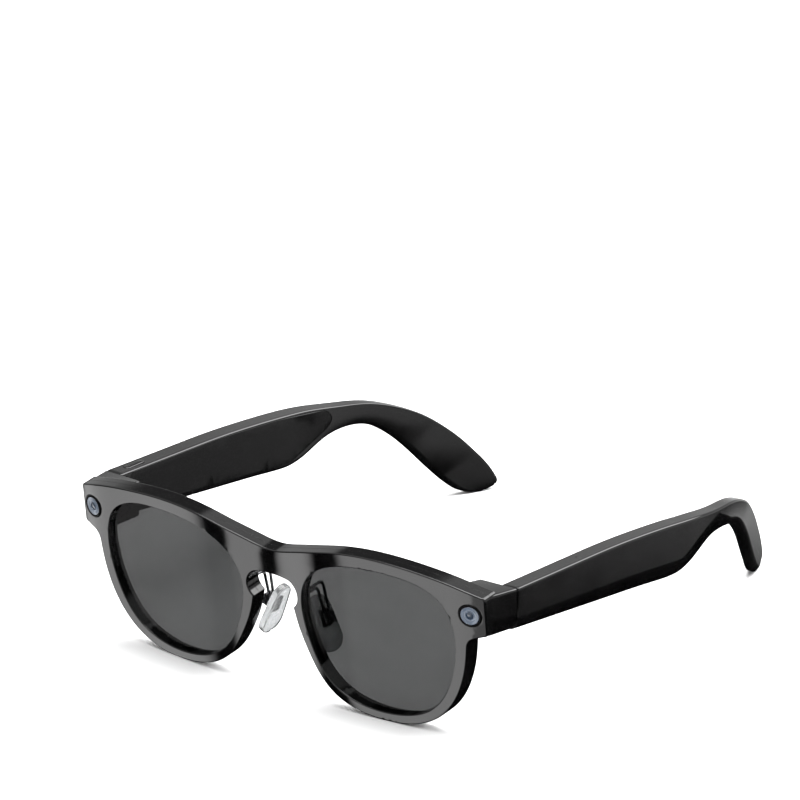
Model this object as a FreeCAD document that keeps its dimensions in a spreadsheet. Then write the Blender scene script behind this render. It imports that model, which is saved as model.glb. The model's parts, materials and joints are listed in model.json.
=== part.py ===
"""Smart glasses: a two-shell front with tinted lenses and two cameras, two folding temples that hold
the electronics, swivelling nose pads and a power button.

Axes: +X is the wearer's left, +Y points back along the temples, +Z is up. The origin is on the resting
plane, under the middle of the whole object. Sizes are in millimetres.
"""
import FreeCAD, Part
import math
import os

import Sketcher
from FreeCAD import Matrix, Placement, Rotation, Vector

os.makedirs("parts", exist_ok=True)
doc = FreeCAD.newDocument("smart_glasses")

# ---------------------------------------------------------------- driving dimensions

DIMENSIONS = {
    "front_y": -84.26,          # the front's reference plane, ahead of the middle of the object
    "pivot_height": 28.2,       # the front leans about this height
    "front_tilt": 7.5,          # degrees, lower rims towards the face
    "half_width": 74.0,
    "front_shell_depth": 2.8,
    "rear_shell_depth": 2.8,
    "lens_front": 1.5,          # depth of the lens face below the front surface
    "lens_thickness": 1.8,
    "lens_bite": 1.2,           # how far the lens reaches into its groove
    "camera_x": 69.3,
    "camera_rise": 12.4,        # above the pivot height, in the front's own plane
    "camera_turn": 14.0,        # degrees outwards, square to the front surface
    "bezel_radius": 3.5,
    "window_radius": 2.75,
    "window_thickness": 0.8,
    "barrel_radius": 2.5,
    "barrel_length": 3.2,
    "sensor_board_side": 5.8,
    "sensor_board_thickness": 0.8,
    "sensor_side": 4.4,
    "hinge_x": 69.3,
    "hinge_y": 15.25,
    "knuckle_radius": 2.2,
    "pin_radius": 0.7,
    "pin_clearance": 0.05,
    "knuckle_bottom": 34.9,
    "knuckle_top": 44.4,
    "knuckle_middle": 4.6,
    "knuckle_play": 0.15,
    "leaf_plate": 1.0,
    "temple_outside": 75.9,
    "temple_thickness": 5.8,
    "tip_thickness": 3.4,
    "temple_bend_start": 94.0,
    "temple_bend_end": 146.0,
    "temple_bend_slope": 0.45,  # how far the ear hook runs inwards for each millimetre back
    "wall": 1.2,
    "cover_thickness": 1.4,
    "battery_length": 32.0,
    "battery_height": 9.0,
    "battery_thickness": 2.6,
    "board_length": 25.0,
    "board_height": 7.6,
    "board_thickness": 0.8,
    "speaker_length": 10.0,
    "speaker_height": 6.0,
    "speaker_thickness": 2.0,
    "pad_upper_radius": 3.5,
    "pad_lower_radius": 4.4,
    "pad_spacing": 9.4,         # between the centres of the two end radii
    "pad_thickness": 2.2,
    "pad_lean": 22.5,           # degrees, tops towards the nose
    "pad_splay_left": 16.0,     # degrees, rear edge away from the nose
    "pad_splay_right": 0.0,     # the right pad has swivelled a little further round
    "wire_radius": 0.45,
    "pad_pin_radius": 0.4,
    "button_length": 8.4,
    "button_width": 2.2,
    "button_height": 1.6,
}

sheet = doc.addObject("Spreadsheet::Sheet", "dims")
for row, (alias, number) in enumerate(DIMENSIONS.items(), start=1):
    sheet.set(f"A{row}", alias)
    sheet.set(f"B{row}", str(number))
    sheet.setAlias(f"B{row}", alias)
doc.recompute()


class Size:
    """A size worked out from the sheet: its number, and the expression that binds it."""

    def __init__(self, number, text):
        self.number, self.text = number, text

    def joined(self, other, sign, number):
        text = other.text if isinstance(other, Size) else repr(float(other))
        return Size(number, f"({self.text} {sign} {text})")

    def __add__(self, other):
        return self.joined(other, "+", self.number + float(other))

    def __sub__(self, other):
        return self.joined(other, "-", self.number - float(other))

    def __mul__(self, other):
        return self.joined(other, "*", self.number * float(other))

    def __truediv__(self, other):
        return self.joined(other, "/", self.number / float(other))

    def __neg__(self):
        return self * -1

    def __float__(self):
        return self.number


def dim(alias):
    return Size(DIMENSIONS[alias], f"dims.{alias}")


def num(alias):
    return DIMENSIONS[alias]


def fixed(number):
    return Size(float(number), repr(float(number)))


SIDES = {"left": 1, "right": -1}
nodes = []                      # the finished sub-parts, each written to a file of its own


def finish(obj):
    nodes.append(obj)
    return obj


# ---------------------------------------------------------------- frames

def straight_place():
    """Level with the temples, measured back from the front's reference plane."""
    return Placement(Vector(0, num("front_y"), 0), Rotation())


def front_place():
    """In the leaning front: X across, Y depth, Z height above the pivot."""
    lean = Rotation(Vector(1, 0, 0), num("front_tilt"))
    return Placement(Vector(0, num("front_y"), num("pivot_height")), lean)


def to_front(shape):
    """A shape drawn level, moved into the leaning front's own frame."""
    shift = front_place().inverse().multiply(straight_place())
    return shape.transformed(shift.toMatrix(), True)


def mirrored(shape, side):
    return shape if side > 0 else shape.mirror(Vector(0, 0, 0), Vector(1, 0, 0))


def feature(label, shape, place):
    """A sub-part whose shape is made directly."""
    obj = doc.addObject("Part::Feature", label)
    obj.Shape = shape
    obj.Placement = place
    return finish(obj)


# ---------------------------------------------------------------- primitive and sketch helpers

def bind_position(obj, x, y, z):
    """Places a primitive by sizes, level with the temples."""
    y = dim("front_y") + y
    for axis, size in (("x", x), ("y", y), ("z", z)):
        size = size if isinstance(size, Size) else fixed(size)
        obj.setExpression(f"Placement.Base.{axis}", size.text)


def block(name, low, high):
    """A box between two corners, each given by three sizes or numbers."""
    box = doc.addObject("Part::Box", name)
    low = [c if isinstance(c, Size) else fixed(c) for c in low]
    high = [c if isinstance(c, Size) else fixed(c) for c in high]
    for prop, small, large in zip(("Length", "Width", "Height"), low, high):
        box.setExpression(prop, (large - small).text)
    bind_position(box, *low)
    return box


def rod(name, radius, x, y, bottom, top):
    """An upright cylinder."""
    cylinder = doc.addObject("Part::Cylinder", name)
    bottom = bottom if isinstance(bottom, Size) else fixed(bottom)
    top = top if isinstance(top, Size) else fixed(top)
    cylinder.setExpression("Radius", radius.text)
    cylinder.setExpression("Height", (top - bottom).text)
    bind_position(cylinder, x, y, bottom)
    return cylinder


def union(name, shapes):
    fuse = doc.addObject("Part::MultiFuse", name)
    fuse.Shapes = shapes
    return fuse


def difference(name, base, tool):
    cut = doc.addObject("Part::Cut", name)
    cut.Base, cut.Tool = base, tool
    return cut


def side_x(side, low, high):
    """Two sizes across, ordered from low to high on either side."""
    low = low if isinstance(low, Size) else fixed(low)
    high = high if isinstance(high, Size) else fixed(high)
    return (low, high) if side > 0 else (-high, -low)


def new_body(label):
    return doc.addObject("PartDesign::Body", label)


def new_sketch(body, name, role="XY_Plane"):
    sketch = body.newObject("Sketcher::SketchObject", f"{body.Name}_{name}")
    plane = next(f for f in body.Origin.OriginFeatures if f.Role == role)
    sketch.AttachmentSupport = [(plane, "")]
    sketch.MapMode = "FlatFace"
    return sketch


def constrain(sketch, kind, refs, size):
    index = sketch.addConstraint(Sketcher.Constraint(kind, *refs, size.number))
    sketch.setExpression(f"Constraints[{index}]", size.text)


def draw_outline(sketch, points):
    """A closed outline of straight lines whose corners are located from the sketch's origin."""
    count = len(points)
    corners = [Vector(float(u), float(v), 0) for u, v in points]
    for i in range(count):
        sketch.addGeometry(Part.LineSegment(corners[i], corners[(i + 1) % count]), False)
    for i in range(count):
        sketch.addConstraint(Sketcher.Constraint("Coincident", i, 2, (i + 1) % count, 1))
    for i, point in enumerate(points):
        for kind, axis, size in zip(("DistanceX", "DistanceY"), (-2, -1), point):
            if abs(size.number) < 1e-6:
                sketch.addConstraint(Sketcher.Constraint("PointOnObject", i, 1, axis))
            elif size.number > 0:
                constrain(sketch, kind, (-1, 1, i, 1), size)
            else:
                constrain(sketch, kind, (i, 1, -1, 1), -size)


def draw_rectangle(sketch, width, height):
    """A rectangle centred on the sketch's origin."""
    right, up = width / 2, height / 2
    draw_outline(sketch, [(-right, -up), (right, -up), (right, up), (-right, up)])


def pad(body, sketch, length, middle=True):
    result = body.newObject("PartDesign::Pad", f"{body.Name}_pad")
    result.Profile = sketch
    result.SideType = "Symmetric" if middle else "One side"
    result.setExpression("Length", length.text)
    return result


def round_edges(body, base, radius):
    doc.recompute()
    fillet = body.newObject("PartDesign::Fillet", f"{body.Name}_fillet")
    fillet.Base = (base, [""])
    fillet.UseAllEdges = True
    fillet.Radius = radius
    return fillet


def box_body(label, width, height, depth, place, radius=0.0):
    """A rounded block: width along X, height along Z, depth along Y."""
    body = new_body(label)
    sketch = new_sketch(body, "outline", "XZ_Plane")
    draw_rectangle(sketch, width, height)
    solid = pad(body, sketch, depth)
    if radius:
        round_edges(body, solid, radius)
    body.Placement = place
    return body


def turned_body(label, outline, place):
    """A turned piece about its own Y axis: the outline gives radius and depth along Y."""
    body = new_body(label)
    sketch = new_sketch(body, "profile", "XY_Plane")
    draw_outline(sketch, outline)
    turn = body.newObject("PartDesign::Revolution", f"{label}_turn")
    turn.Profile = sketch
    turn.ReferenceAxis = (sketch, ["V_Axis"])
    turn.Angle = 360
    body.Placement = place
    return body


# ---------------------------------------------------------------- outlines of the front

BROW = [(0, 17.1), (8, 18.7), (16, 20.9), (24, 22.7), (34, 23.6), (46, 23.1), (58, 21.8), (67, 20.2),
        (72.9, 18.4)]
RIM = [(67.6, 1.4), (66.9, -3.5), (65.2, -10.0), (62.2, -16.5), (57.6, -22.2), (51.5, -26.2), (44.0, -28.2),
       (36.0, -28.3), (28.5, -27.1), (21.5, -24.2), (15.6, -18.6), (11.6, -11.8), (8.7, -5.0), (7.3, 0.4)]
LENS = [(63.4, -2.0), (63.5, 6.0), (60.4, 13.6), (53.5, 17.9), (44.0, 19.5), (33.0, 19.6), (23.5, 18.0),
        (15.4, 13.2), (11.4, 6.0), (11.4, -2.0), (13.7, -10.0), (17.7, -17.4), (24.1, -22.6), (31.7, -25.1),
        (39.2, -25.7), (46.5, -24.7), (53.3, -21.6), (58.4, -16.1), (61.6, -9.4)]
LENS_CENTRE = (38.5, -2.5)
PLAN = [(0, 0.0), (8, -0.55), (17, -1.35), (32, -0.75), (47, 0.8), (61, 2.0), (68, 2.8), (75, 4.7)]
NOTCH_SIDE = (9.1, 5.0)
NOTCH_TOP = (6.3, 8.6)
BRIDGE_UNDER = 9.1
CORNER_TOP = 17.2
CORNER_BOTTOM = 6.9
END_STEP = [(69.9, 4.9), (68.3, 3.6)]
CAMERA_SURFACE = 3.0            # depth of the front surface at the cameras


def front_vectors(points):
    return [Vector(x, 0, z) for x, z in points]


def smooth(points, closed=False):
    curve = Part.BSplineCurve()
    curve.interpolate(Points=points, PeriodicFlag=closed)
    return curve.toShape()


def segment(a, b):
    return Part.LineSegment(a, b).toShape()


def arc(a, middle, b):
    return Part.Arc(a, middle, b).toShape()


def half_outline_below():
    """From the end piece's corner down round the rim and up to the middle of the bridge's underside."""
    wide = num("half_width")
    corner = [Vector(72.9, 0, 18.4), Vector(wide - 0.2, 0, 18.0), Vector(wide, 0, CORNER_TOP)]
    lower = [Vector(wide, 0, CORNER_BOTTOM), Vector(wide - 0.3, 0, 6.2), Vector(72.9, 0, 5.9)]
    step, inner = front_vectors(END_STEP)
    rim = front_vectors(RIM)
    notch, top = Vector(NOTCH_SIDE[0], 0, NOTCH_SIDE[1]), Vector(NOTCH_TOP[0], 0, NOTCH_TOP[1])
    return [arc(*corner), segment(corner[2], lower[0]), arc(*lower), segment(lower[2], step),
            arc(step, inner, rim[0]), smooth(rim), arc(rim[-1], notch, top)]


def front_face():
    """The whole front's outline as a flat face at depth 0."""
    half = half_outline_below()
    brow = [(-x, z) for x, z in BROW[:0:-1]] + BROW
    other = [edge.mirror(Vector(0, 0, 0), Vector(1, 0, 0)) for edge in half]
    notch_x, notch_z = NOTCH_TOP
    under = arc(Vector(notch_x, 0, notch_z), Vector(0, 0, BRIDGE_UNDER), Vector(-notch_x, 0, notch_z))
    edges = [smooth(front_vectors(brow))] + half + [under] + other
    return Part.Face(Part.Wire(Part.__sortEdges__(edges)))


def lens_face(grow=0.0):
    """A lens opening's outline, grown outwards from its middle."""
    points = []
    for x, z in LENS:
        dx, dz = x - LENS_CENTRE[0], z - LENS_CENTRE[1]
        reach = math.hypot(dx, dz)
        points.append(Vector(x + grow * dx / reach, 0, z + grow * dz / reach))
    return Part.Face(Part.Wire([smooth(points, closed=True)]))


def through(face, low=-12.0, high=30.0):
    """A face at depth 0 made into a prism from one depth to another."""
    prism = face.extrude(Vector(0, high - low, 0))
    prism.translate(Vector(0, low, 0))
    return prism


def layer(near, far, low=-40.0, high=40.0):
    """The curved layer between two depths below the front surface."""
    plan = [(-x, y) for x, y in PLAN[:0:-1]] + PLAN
    ends = []
    curves = []
    for depth in (near, far):
        points = [Vector(x, y + depth, low) for x, y in plan]
        curves.append(smooth(points))
        ends.append((points[0], points[-1]))
    sides = [segment(ends[0][1], ends[1][1]), segment(ends[1][0], ends[0][0])]
    face = Part.Face(Part.Wire(Part.__sortEdges__([curves[0], sides[0], curves[1], sides[1]])))
    return face.extrude(Vector(0, 0, high - low))


def camera_place(side):
    """The camera's own frame: Y runs back into the end piece from the front surface."""
    spot = Vector(side * num("camera_x"), CAMERA_SURFACE, num("camera_rise"))
    turn = Rotation(Vector(0, 0, 1), side * num("camera_turn"))
    return front_place().multiply(Placement(spot, turn))


def camera_bore(side, radius, near, far):
    """A bore in the front's own frame, along the camera's axis."""
    frame = front_place().inverse().multiply(camera_place(side))
    start = frame.multVec(Vector(0, near, 0))
    axis = frame.Rotation.multVec(Vector(0, 1, 0))
    return Part.makeCylinder(radius, far - near, start, axis)


# ---------------------------------------------------------------- temple outline

# Matching points along the upper and lower edges of a temple: back, up, back, up.
STATIONS = [(15.4, 46.6, 15.4, 33.2), (28, 46.2, 28, 31.9), (45, 45.7, 45, 30.2), (62, 45.1, 62, 28.5),
            (78, 44.0, 78, 26.9), (90, 42.9, 88.5, 25.7), (98, 42.0, 95.5, 25.3), (105, 41.1, 101.5, 26.2),
            (112, 40.0, 107, 28.2), (119, 38.9, 113, 30.3), (126, 37.9, 119.5, 31.2), (133, 36.3, 126, 30.8),
            (140.4, 33.6, 132.2, 28.6), (147.8, 29.9, 138.4, 24.4), (154.6, 25.0, 144.0, 19.0),
            (160.6, 19.6, 149.0, 13.3), (165.8, 13.9, 154.0, 7.7), (170.0, 8.7, 158.4, 3.4),
            (172.3, 4.9, 162.2, 0.9), (173.0, 3.0, 165.4, 0.1),
            (172.2, 1.5, 168.6, 0.1)]
TOP_FALL = 0.2                  # the inner top edge is lower than the outer one
BELLY = 3.2                     # how far the round under the outer face runs in
HOOK_BELLY = 1.0


def temple_outside(y):
    """The outer face: straight, then an easy bend, then straight again down the ear hook."""
    start, end, slope = num("temple_bend_start"), num("temple_bend_end"), num("temple_bend_slope")
    in_bend = min(max(0.0, y - start), end - start)
    past = max(0.0, y - end)
    return num("temple_outside") - slope * in_bend ** 2 / (2 * (end - start)) - slope * past


def temple_depth(y):
    share = min(1.0, max(0.0, (y - num("temple_bend_start")) / 60.0))
    return num("temple_thickness") + share * (num("tip_thickness") - num("temple_thickness"))


def rounded_section(outer_top, inner_top, inner_bottom, outer_bottom, belly, rise=0.4):
    """A closed section with eased corners; the lower outer one is the full belly round."""
    corners = [outer_top, inner_top, inner_bottom, outer_bottom]
    height = (outer_bottom - outer_top).Length
    thick = (inner_bottom - outer_bottom).Length
    small = min(0.6, 0.28 * thick, 0.3 * height)
    below = 1.6 * small
    reaches = [(small, small), (small, small), (below, below),
               (min(belly, 0.55 * thick), min(max(1.3 * belly, rise * height), 0.95 * height - small))]
    ends = []
    for i, corner in enumerate(corners):
        before = (corners[i - 1] - corner).normalize()
        after = (corners[(i + 1) % 4] - corner).normalize()
        ends.append((corner + before * reaches[i][0], corner, corner + after * reaches[i][1]))
    edges = []
    for i, (start, corner, stop) in enumerate(ends):
        curve = Part.BezierCurve()
        curve.setPoles([start, start + (corner - start) * 0.55, stop + (corner - stop) * 0.55, stop])
        edges.append(curve.toShape())
        edges.append(segment(stop, ends[(i + 1) % 4][0]))
    return Part.Wire(edges)


def temple_section(station):
    top_y, top_z, bottom_y, bottom_z = station
    outer_top = Vector(temple_outside(top_y), top_y, top_z)
    outer_bottom = Vector(temple_outside(bottom_y), bottom_y, bottom_z)
    fall = (outer_bottom - outer_top)
    fall.x = 0
    fall.normalize()
    end_ease = min(1.0, (fall.dot(Vector(0, bottom_y - top_y, bottom_z - top_z))) / 9.0)
    thick_top, thick_bottom = temple_depth(top_y), temple_depth(bottom_y)
    inner_top = outer_top + Vector(-thick_top, 0, 0) + fall * (TOP_FALL * end_ease)
    inner_bottom = outer_bottom + Vector(-thick_bottom, 0, 0)
    sweep = min(1.0, max(0.0, (top_y - 98) / 21))       # the belly climbs to the top where the hook starts
    ease = min(1.0, max(0.0, (top_y - 119) / 14))       # and fades along the hook
    belly = BELLY + (HOOK_BELLY - BELLY) * ease
    return rounded_section(outer_top, inner_top, inner_bottom, outer_bottom, belly,
                           0.31 + 0.55 * sweep * (1 - ease))


def temple_solid():
    """The left temple's outside as one solid."""
    return Part.makeLoft([temple_section(station) for station in STATIONS], True, True)


# The end piece at its front and its rear: back, outside, top, inner top, bottom, inner bottom, belly.
END_SECTIONS = [(0.5, 73.2, 46.9, 48.6, 34.3, 35.4, 1.0), (15.1, 75.9, 46.6, 46.3, 33.2, 35.2, 3.2)]
END_INSIDE = 62.6


def end_piece_solid():
    """The left end piece behind the front: it falls from the brow's height to the temple's."""
    sections = []
    for y, outside, top, inner_top, bottom, inner_bottom, belly in END_SECTIONS:
        sections.append(rounded_section(Vector(outside, y, top), Vector(END_INSIDE, y, inner_top),
                                        Vector(END_INSIDE, y, inner_bottom), Vector(outside, y, bottom), belly))
    return Part.makeLoft(sections, True, True)


def side_prism(points, x_low, x_high):
    """A side outline (back, up) made into a prism across X."""
    wire = Part.makePolygon([Vector(x_low, y, z) for y, z in points + points[:1]])
    return Part.Face(wire).extrude(Vector(x_high - x_low, 0, 0))


def inner_face_slab(offset_in, offset_out, start, stop):
    """The slab that follows the temple's inner face, between two offsets outwards from it."""
    steps = 9
    stations = [start + (stop - start) * i / (steps - 1) for i in range(steps)]
    near = [Vector(temple_outside(y) - temple_depth(y) + offset_in, y, 20) for y in stations]
    far = [Vector(temple_outside(y) - temple_depth(y) + offset_out, y, 20) for y in stations]
    edges = [smooth(near), segment(near[-1], far[-1]), smooth(far), segment(far[0], near[0])]
    face = Part.Face(Part.Wire(Part.__sortEdges__(edges)))
    return face.extrude(Vector(0, 0, 30))


# ---------------------------------------------------------------- front: shells and lenses

HINGE_ROOM_BOTTOM, HINGE_ROOM_TOP = 25.0, 45.25


def hinge_recess(side):
    """Room for the knuckle in the end piece's rear, under its top, level frame."""
    room = Part.makeBox(8.0, 6.0, HINGE_ROOM_TOP - HINGE_ROOM_BOTTOM, Vector(63.6, 12.3, HINGE_ROOM_BOTTOM))
    return mirrored(room, side)


def make_front():
    depth_front, depth_rear = num("front_shell_depth"), num("rear_shell_depth")
    depth_total = depth_front + depth_rear
    outline = through(front_face())
    openings = [mirrored(through(lens_face()), side) for side in SIDES.values()]
    lens_near = num("lens_front")
    lens_far = lens_near + num("lens_thickness")
    lens_layer = layer(lens_near, lens_far)
    lens_prism = through(lens_face(num("lens_bite")))
    lenses = {name: mirrored(lens_prism, side).common(lens_layer) for name, side in SIDES.items()}

    front_shell = outline.common(layer(0, depth_front))
    rear_plate = outline.common(layer(depth_front + 0.02, depth_total))
    ahead = layer(-30, depth_front + 0.02)
    cable = make_camera_flex_shape(depth_front)
    ends, cavities = [], []
    for side in SIDES.values():
        ends.append(to_front(mirrored(end_piece_solid(), side)).cut(ahead))
        room = Part.makeBox(8.1, 7.2, 8.8, Vector(66.3, 3.8, 36.3))
        cavities.append(to_front(mirrored(room, side)).cut(ahead))
        cavities.append(to_front(hinge_recess(side)))
        cavities.append(to_front(mirrored(hinge_anchor_shape(), side)))
        cavities.append(camera_bore(side, num("bezel_radius"), -3, 2.6))
        cavities.append(camera_bore(side, num("barrel_radius") + 0.1, 1, 6))
    rear_shell = rear_plate.multiFuse(ends)
    front_shell = front_shell.cut(openings + list(lenses.values()) + cavities)
    bores = screw_bores() + arm_bores()
    rear_shell = rear_shell.cut(openings + list(lenses.values()) + cavities + [cable] + bores)
    feature("front_shell", front_shell.cut(screw_bores()), front_place())
    feature("rear_shell", rear_shell, front_place())
    for name in SIDES:
        feature(f"lens_{name}", lenses[name], front_place())
    feature("camera_flex", cable, front_place())


def make_camera_flex_shape(depth):
    """The printed cable that joins the two cameras, along the brow behind the front shell."""
    reach = 66.0
    brow = [(x, z) for x, z in BROW if x < reach] + [(reach, 20.4)]
    line = [(-x, z) for x, z in brow[:0:-1]] + brow
    upper = [Vector(x, 0, z - 0.9) for x, z in line]
    lower = [Vector(x, 0, z - 2.3) for x, z in line]
    edges = [smooth(upper), segment(upper[-1], lower[-1]), smooth(lower), segment(lower[0], upper[0])]
    strip = Part.Face(Part.Wire(Part.__sortEdges__(edges)))
    return through(strip).common(layer(depth + 0.02, depth + 0.32))


# ---------------------------------------------------------------- fasteners of the front

SHELL_SCREWS = [(7.4, 12.6, -0.5), (63.6, 17.2, 2.2)]      # across, up, depth of the front surface there
SCREW_HEAD = (1.0, 0.6)
SCREW_SHANK = (0.5, 3.4)


def shell_screw(side, x, z, surface):
    """One small screw put in from behind, head flush with the rear face."""
    back = surface + num("front_shell_depth") + num("rear_shell_depth")
    spot = Vector(side * x, back - 0.1, z)
    head = Part.makeCylinder(SCREW_HEAD[0], SCREW_HEAD[1], spot, Vector(0, -1, 0))
    shank = Part.makeCylinder(SCREW_SHANK[0], SCREW_SHANK[1], spot, Vector(0, -1, 0))
    slot = Part.makeBox(1.5, 0.25, 0.25, Vector(side * x - 0.75, back - 0.3, z - 0.125))
    return head.fuse(shank).cut(slot)


def shell_screw_shapes():
    return [shell_screw(side, *spot) for side in SIDES.values() for spot in SHELL_SCREWS]


def screw_bores():
    bores = []
    for side in SIDES.values():
        for x, z, surface in SHELL_SCREWS:
            back = surface + num("front_shell_depth") + num("rear_shell_depth")
            spot = Vector(side * x, back - 0.1, z)
            bores.append(Part.makeCylinder(SCREW_HEAD[0], SCREW_HEAD[1] + 0.01, spot, Vector(0, -1, 0)))
            bores.append(Part.makeCylinder(SCREW_HEAD[0], 1.5, spot, Vector(0, 1, 0)))
            bores.append(Part.makeCylinder(SCREW_SHANK[0], SCREW_SHANK[1], spot, Vector(0, -1, 0)))
    return bores


# ---------------------------------------------------------------- cameras

def make_camera(name, side):
    bezel_outer, bezel_inner = dim("bezel_radius"), dim("window_radius")
    proud, seat = fixed(0.35), fixed(2.5)
    finish(turned_body(f"camera_bezel_{name}", [
        (bezel_inner, -proud), (bezel_outer - 0.2, -proud), (bezel_outer, -proud + 0.2),
         (bezel_outer, seat),
        (bezel_inner, seat)], camera_place(side)))
    finish(turned_body(f"camera_window_{name}", [
        (fixed(0), fixed(0)), (bezel_inner, fixed(0)), (bezel_inner, dim("window_thickness")),
        (fixed(0), dim("window_thickness"))], camera_place(side)))
    barrel, length = dim("barrel_radius"), dim("barrel_length")
    start = dim("window_thickness") + 0.3
    finish(turned_body(f"camera_lens_{name}", [
        (fixed(0), start + 0.5), (barrel - 1.3, start + 0.15), (barrel - 1.2, start), (barrel - 0.2, start),
        (barrel - 0.2, start + 1.2), (barrel, start + 1.2), (barrel, start + length), (fixed(0), start + length)],
        camera_place(side)))
    back = float(start + length)
    body = new_body(f"camera_board_{name}")
    outline = new_sketch(body, "outline", "XZ_Plane")
    draw_rectangle(outline, dim("sensor_board_side"), dim("sensor_board_side") + 1.0)
    plate = pad(body, outline, dim("sensor_board_thickness"))
    sensor = new_sketch(body, "sensor", "XZ_Plane")
    draw_rectangle(sensor, dim("sensor_side"), dim("sensor_side"))
    chip = body.newObject("PartDesign::Pad", f"{body.Name}_sensor_pad")
    chip.Profile = sensor
    chip.Type = "Length"
    chip.Reversed = False
    chip.setExpression("Length", (dim("sensor_board_thickness") / 2 + 0.5).text)
    thickness = num("sensor_board_thickness")
    offset = Placement(Vector(side * 1.4, back + 0.5 + thickness / 2, 0), Rotation())
    body.Placement = camera_place(side).multiply(offset)
    finish(body)


# ---------------------------------------------------------------- hinges

def hinge_levels():
    """Heights of the knuckle's bottom, its middle barrel and its top."""
    middle = (dim("knuckle_bottom") + dim("knuckle_top")) / 2
    half = dim("knuckle_middle") / 2
    return dim("knuckle_bottom"), middle - half, middle + half, dim("knuckle_top")


ANCHOR = ((66.6, 10.1, 35.2), (72.2, 12.3, 44.4))


def hinge_anchor_shape():
    """The front leaf's anchor in the left end piece, as a plain block."""
    low, high = (Vector(*corner) for corner in ANCHOR)
    size = high - low
    return Part.makeBox(size.x, size.y, size.z, low)


LEAF_BOTTOM, LEAF_TOP, LEAF_BACK = 37.0, 43.0, 28.0


def make_hinge(name, side):
    bottom, low, high, top = hinge_levels()
    play = dim("knuckle_play")
    hinge_x, hinge_y = dim("hinge_x") * side, dim("hinge_y")
    radius, pin = dim("knuckle_radius"), dim("pin_radius")

    barrels = []
    for tag, start, stop in (("lower", bottom, low - play), ("upper", high + play, top)):
        barrels.append(rod(f"front_barrel_{tag}_{name}", radius, hinge_x, hinge_y, start, stop))
        x_low, x_high = side_x(side, 67.5, 71.1)
        barrels.append(block(f"front_web_{tag}_{name}", (x_low, fixed(12.3), start), (x_high, hinge_y, stop)))
    (near_x, near_y, near_z), (far_x, far_y, far_z) = ANCHOR
    x_low, x_high = side_x(side, near_x, far_x)
    barrels.append(block(f"front_anchor_{name}", (x_low, near_y, near_z), (x_high, far_y, far_z)))
    leaf = union(f"front_leaf_{name}", barrels)
    bore = rod(f"front_bore_{name}", pin, hinge_x, hinge_y, bottom - 1, top + 1)
    finish(difference(f"hinge_front_leaf_{name}", leaf, bore))

    barrel = rod(f"temple_barrel_{name}", radius, hinge_x, hinge_y, low, high)
    x_low, x_high = side_x(side, 69.3, 73.0)
    arm = block(f"temple_web_{name}", (x_low, 15.7, low), (x_high, 17.3, high))
    x_low, x_high = side_x(side, fixed(73.0) - dim("leaf_plate"), 73.0)
    plate = block(f"temple_plate_{name}", (x_low, 15.7, LEAF_BOTTOM), (x_high, LEAF_BACK, LEAF_TOP))
    leaf = union(f"temple_leaf_{name}", [barrel, arm, plate])
    bore = rod(f"temple_bore_{name}", pin + dim("pin_clearance"), hinge_x, hinge_y, low - 1, high + 1)
    finish(difference(f"hinge_temple_leaf_{name}", leaf, bore))

    body = new_body(f"hinge_pin_{name}")
    profile = new_sketch(body, "profile", "XZ_Plane")
    length = top - bottom
    foot, head, crown = fixed(0), length + 0.01, length + 0.56
    draw_outline(profile, [(foot, foot), (pin, foot), (pin, head), (pin + 0.5, head),
                           (pin + 0.5, length + 0.31), (pin + 0.2, crown), (foot, crown)])
    turn = body.newObject("PartDesign::Revolution", f"{body.Name}_turn")
    turn.Profile = profile
    turn.ReferenceAxis = (profile, ["V_Axis"])
    turn.Angle = 360
    axis_foot = Vector(float(hinge_x), num("front_y") + float(hinge_y), float(bottom))
    body.Placement = Placement(axis_foot, Rotation())
    finish(body)


# ---------------------------------------------------------------- nose pads

PAD_CENTRE = Vector(9.0, 11.9, 20.8)
BOX_OFFSET = Vector(0, 1.1, 2.75)           # from the pad's middle, in the pad's own frame
BOX_SIDE, BOX_HEIGHT, BOX_DEPTH = 3.4, 3.4, 2.4
TAB_THICKNESS = 1.0


def pad_place(side):
    """The pad's frame: Y up its length, Z away from the nose."""
    lean = math.radians(num("pad_lean"))
    splay = math.radians(num("pad_splay_left") if side > 0 else num("pad_splay_right"))
    up = Vector(-side * math.sin(lean), 0, math.cos(lean))
    back = Vector(side * math.sin(splay), math.cos(splay), 0)
    back = (back - up * back.dot(up)).normalize()
    across = back * side
    away = across.cross(up)
    matrix = Matrix(across.x, up.x, away.x, side * PAD_CENTRE.x,
                    across.y, up.y, away.y, PAD_CENTRE.y,
                    across.z, up.z, away.z, PAD_CENTRE.z, 0, 0, 0, 1)
    return straight_place().multiply(Placement(matrix))


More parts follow.
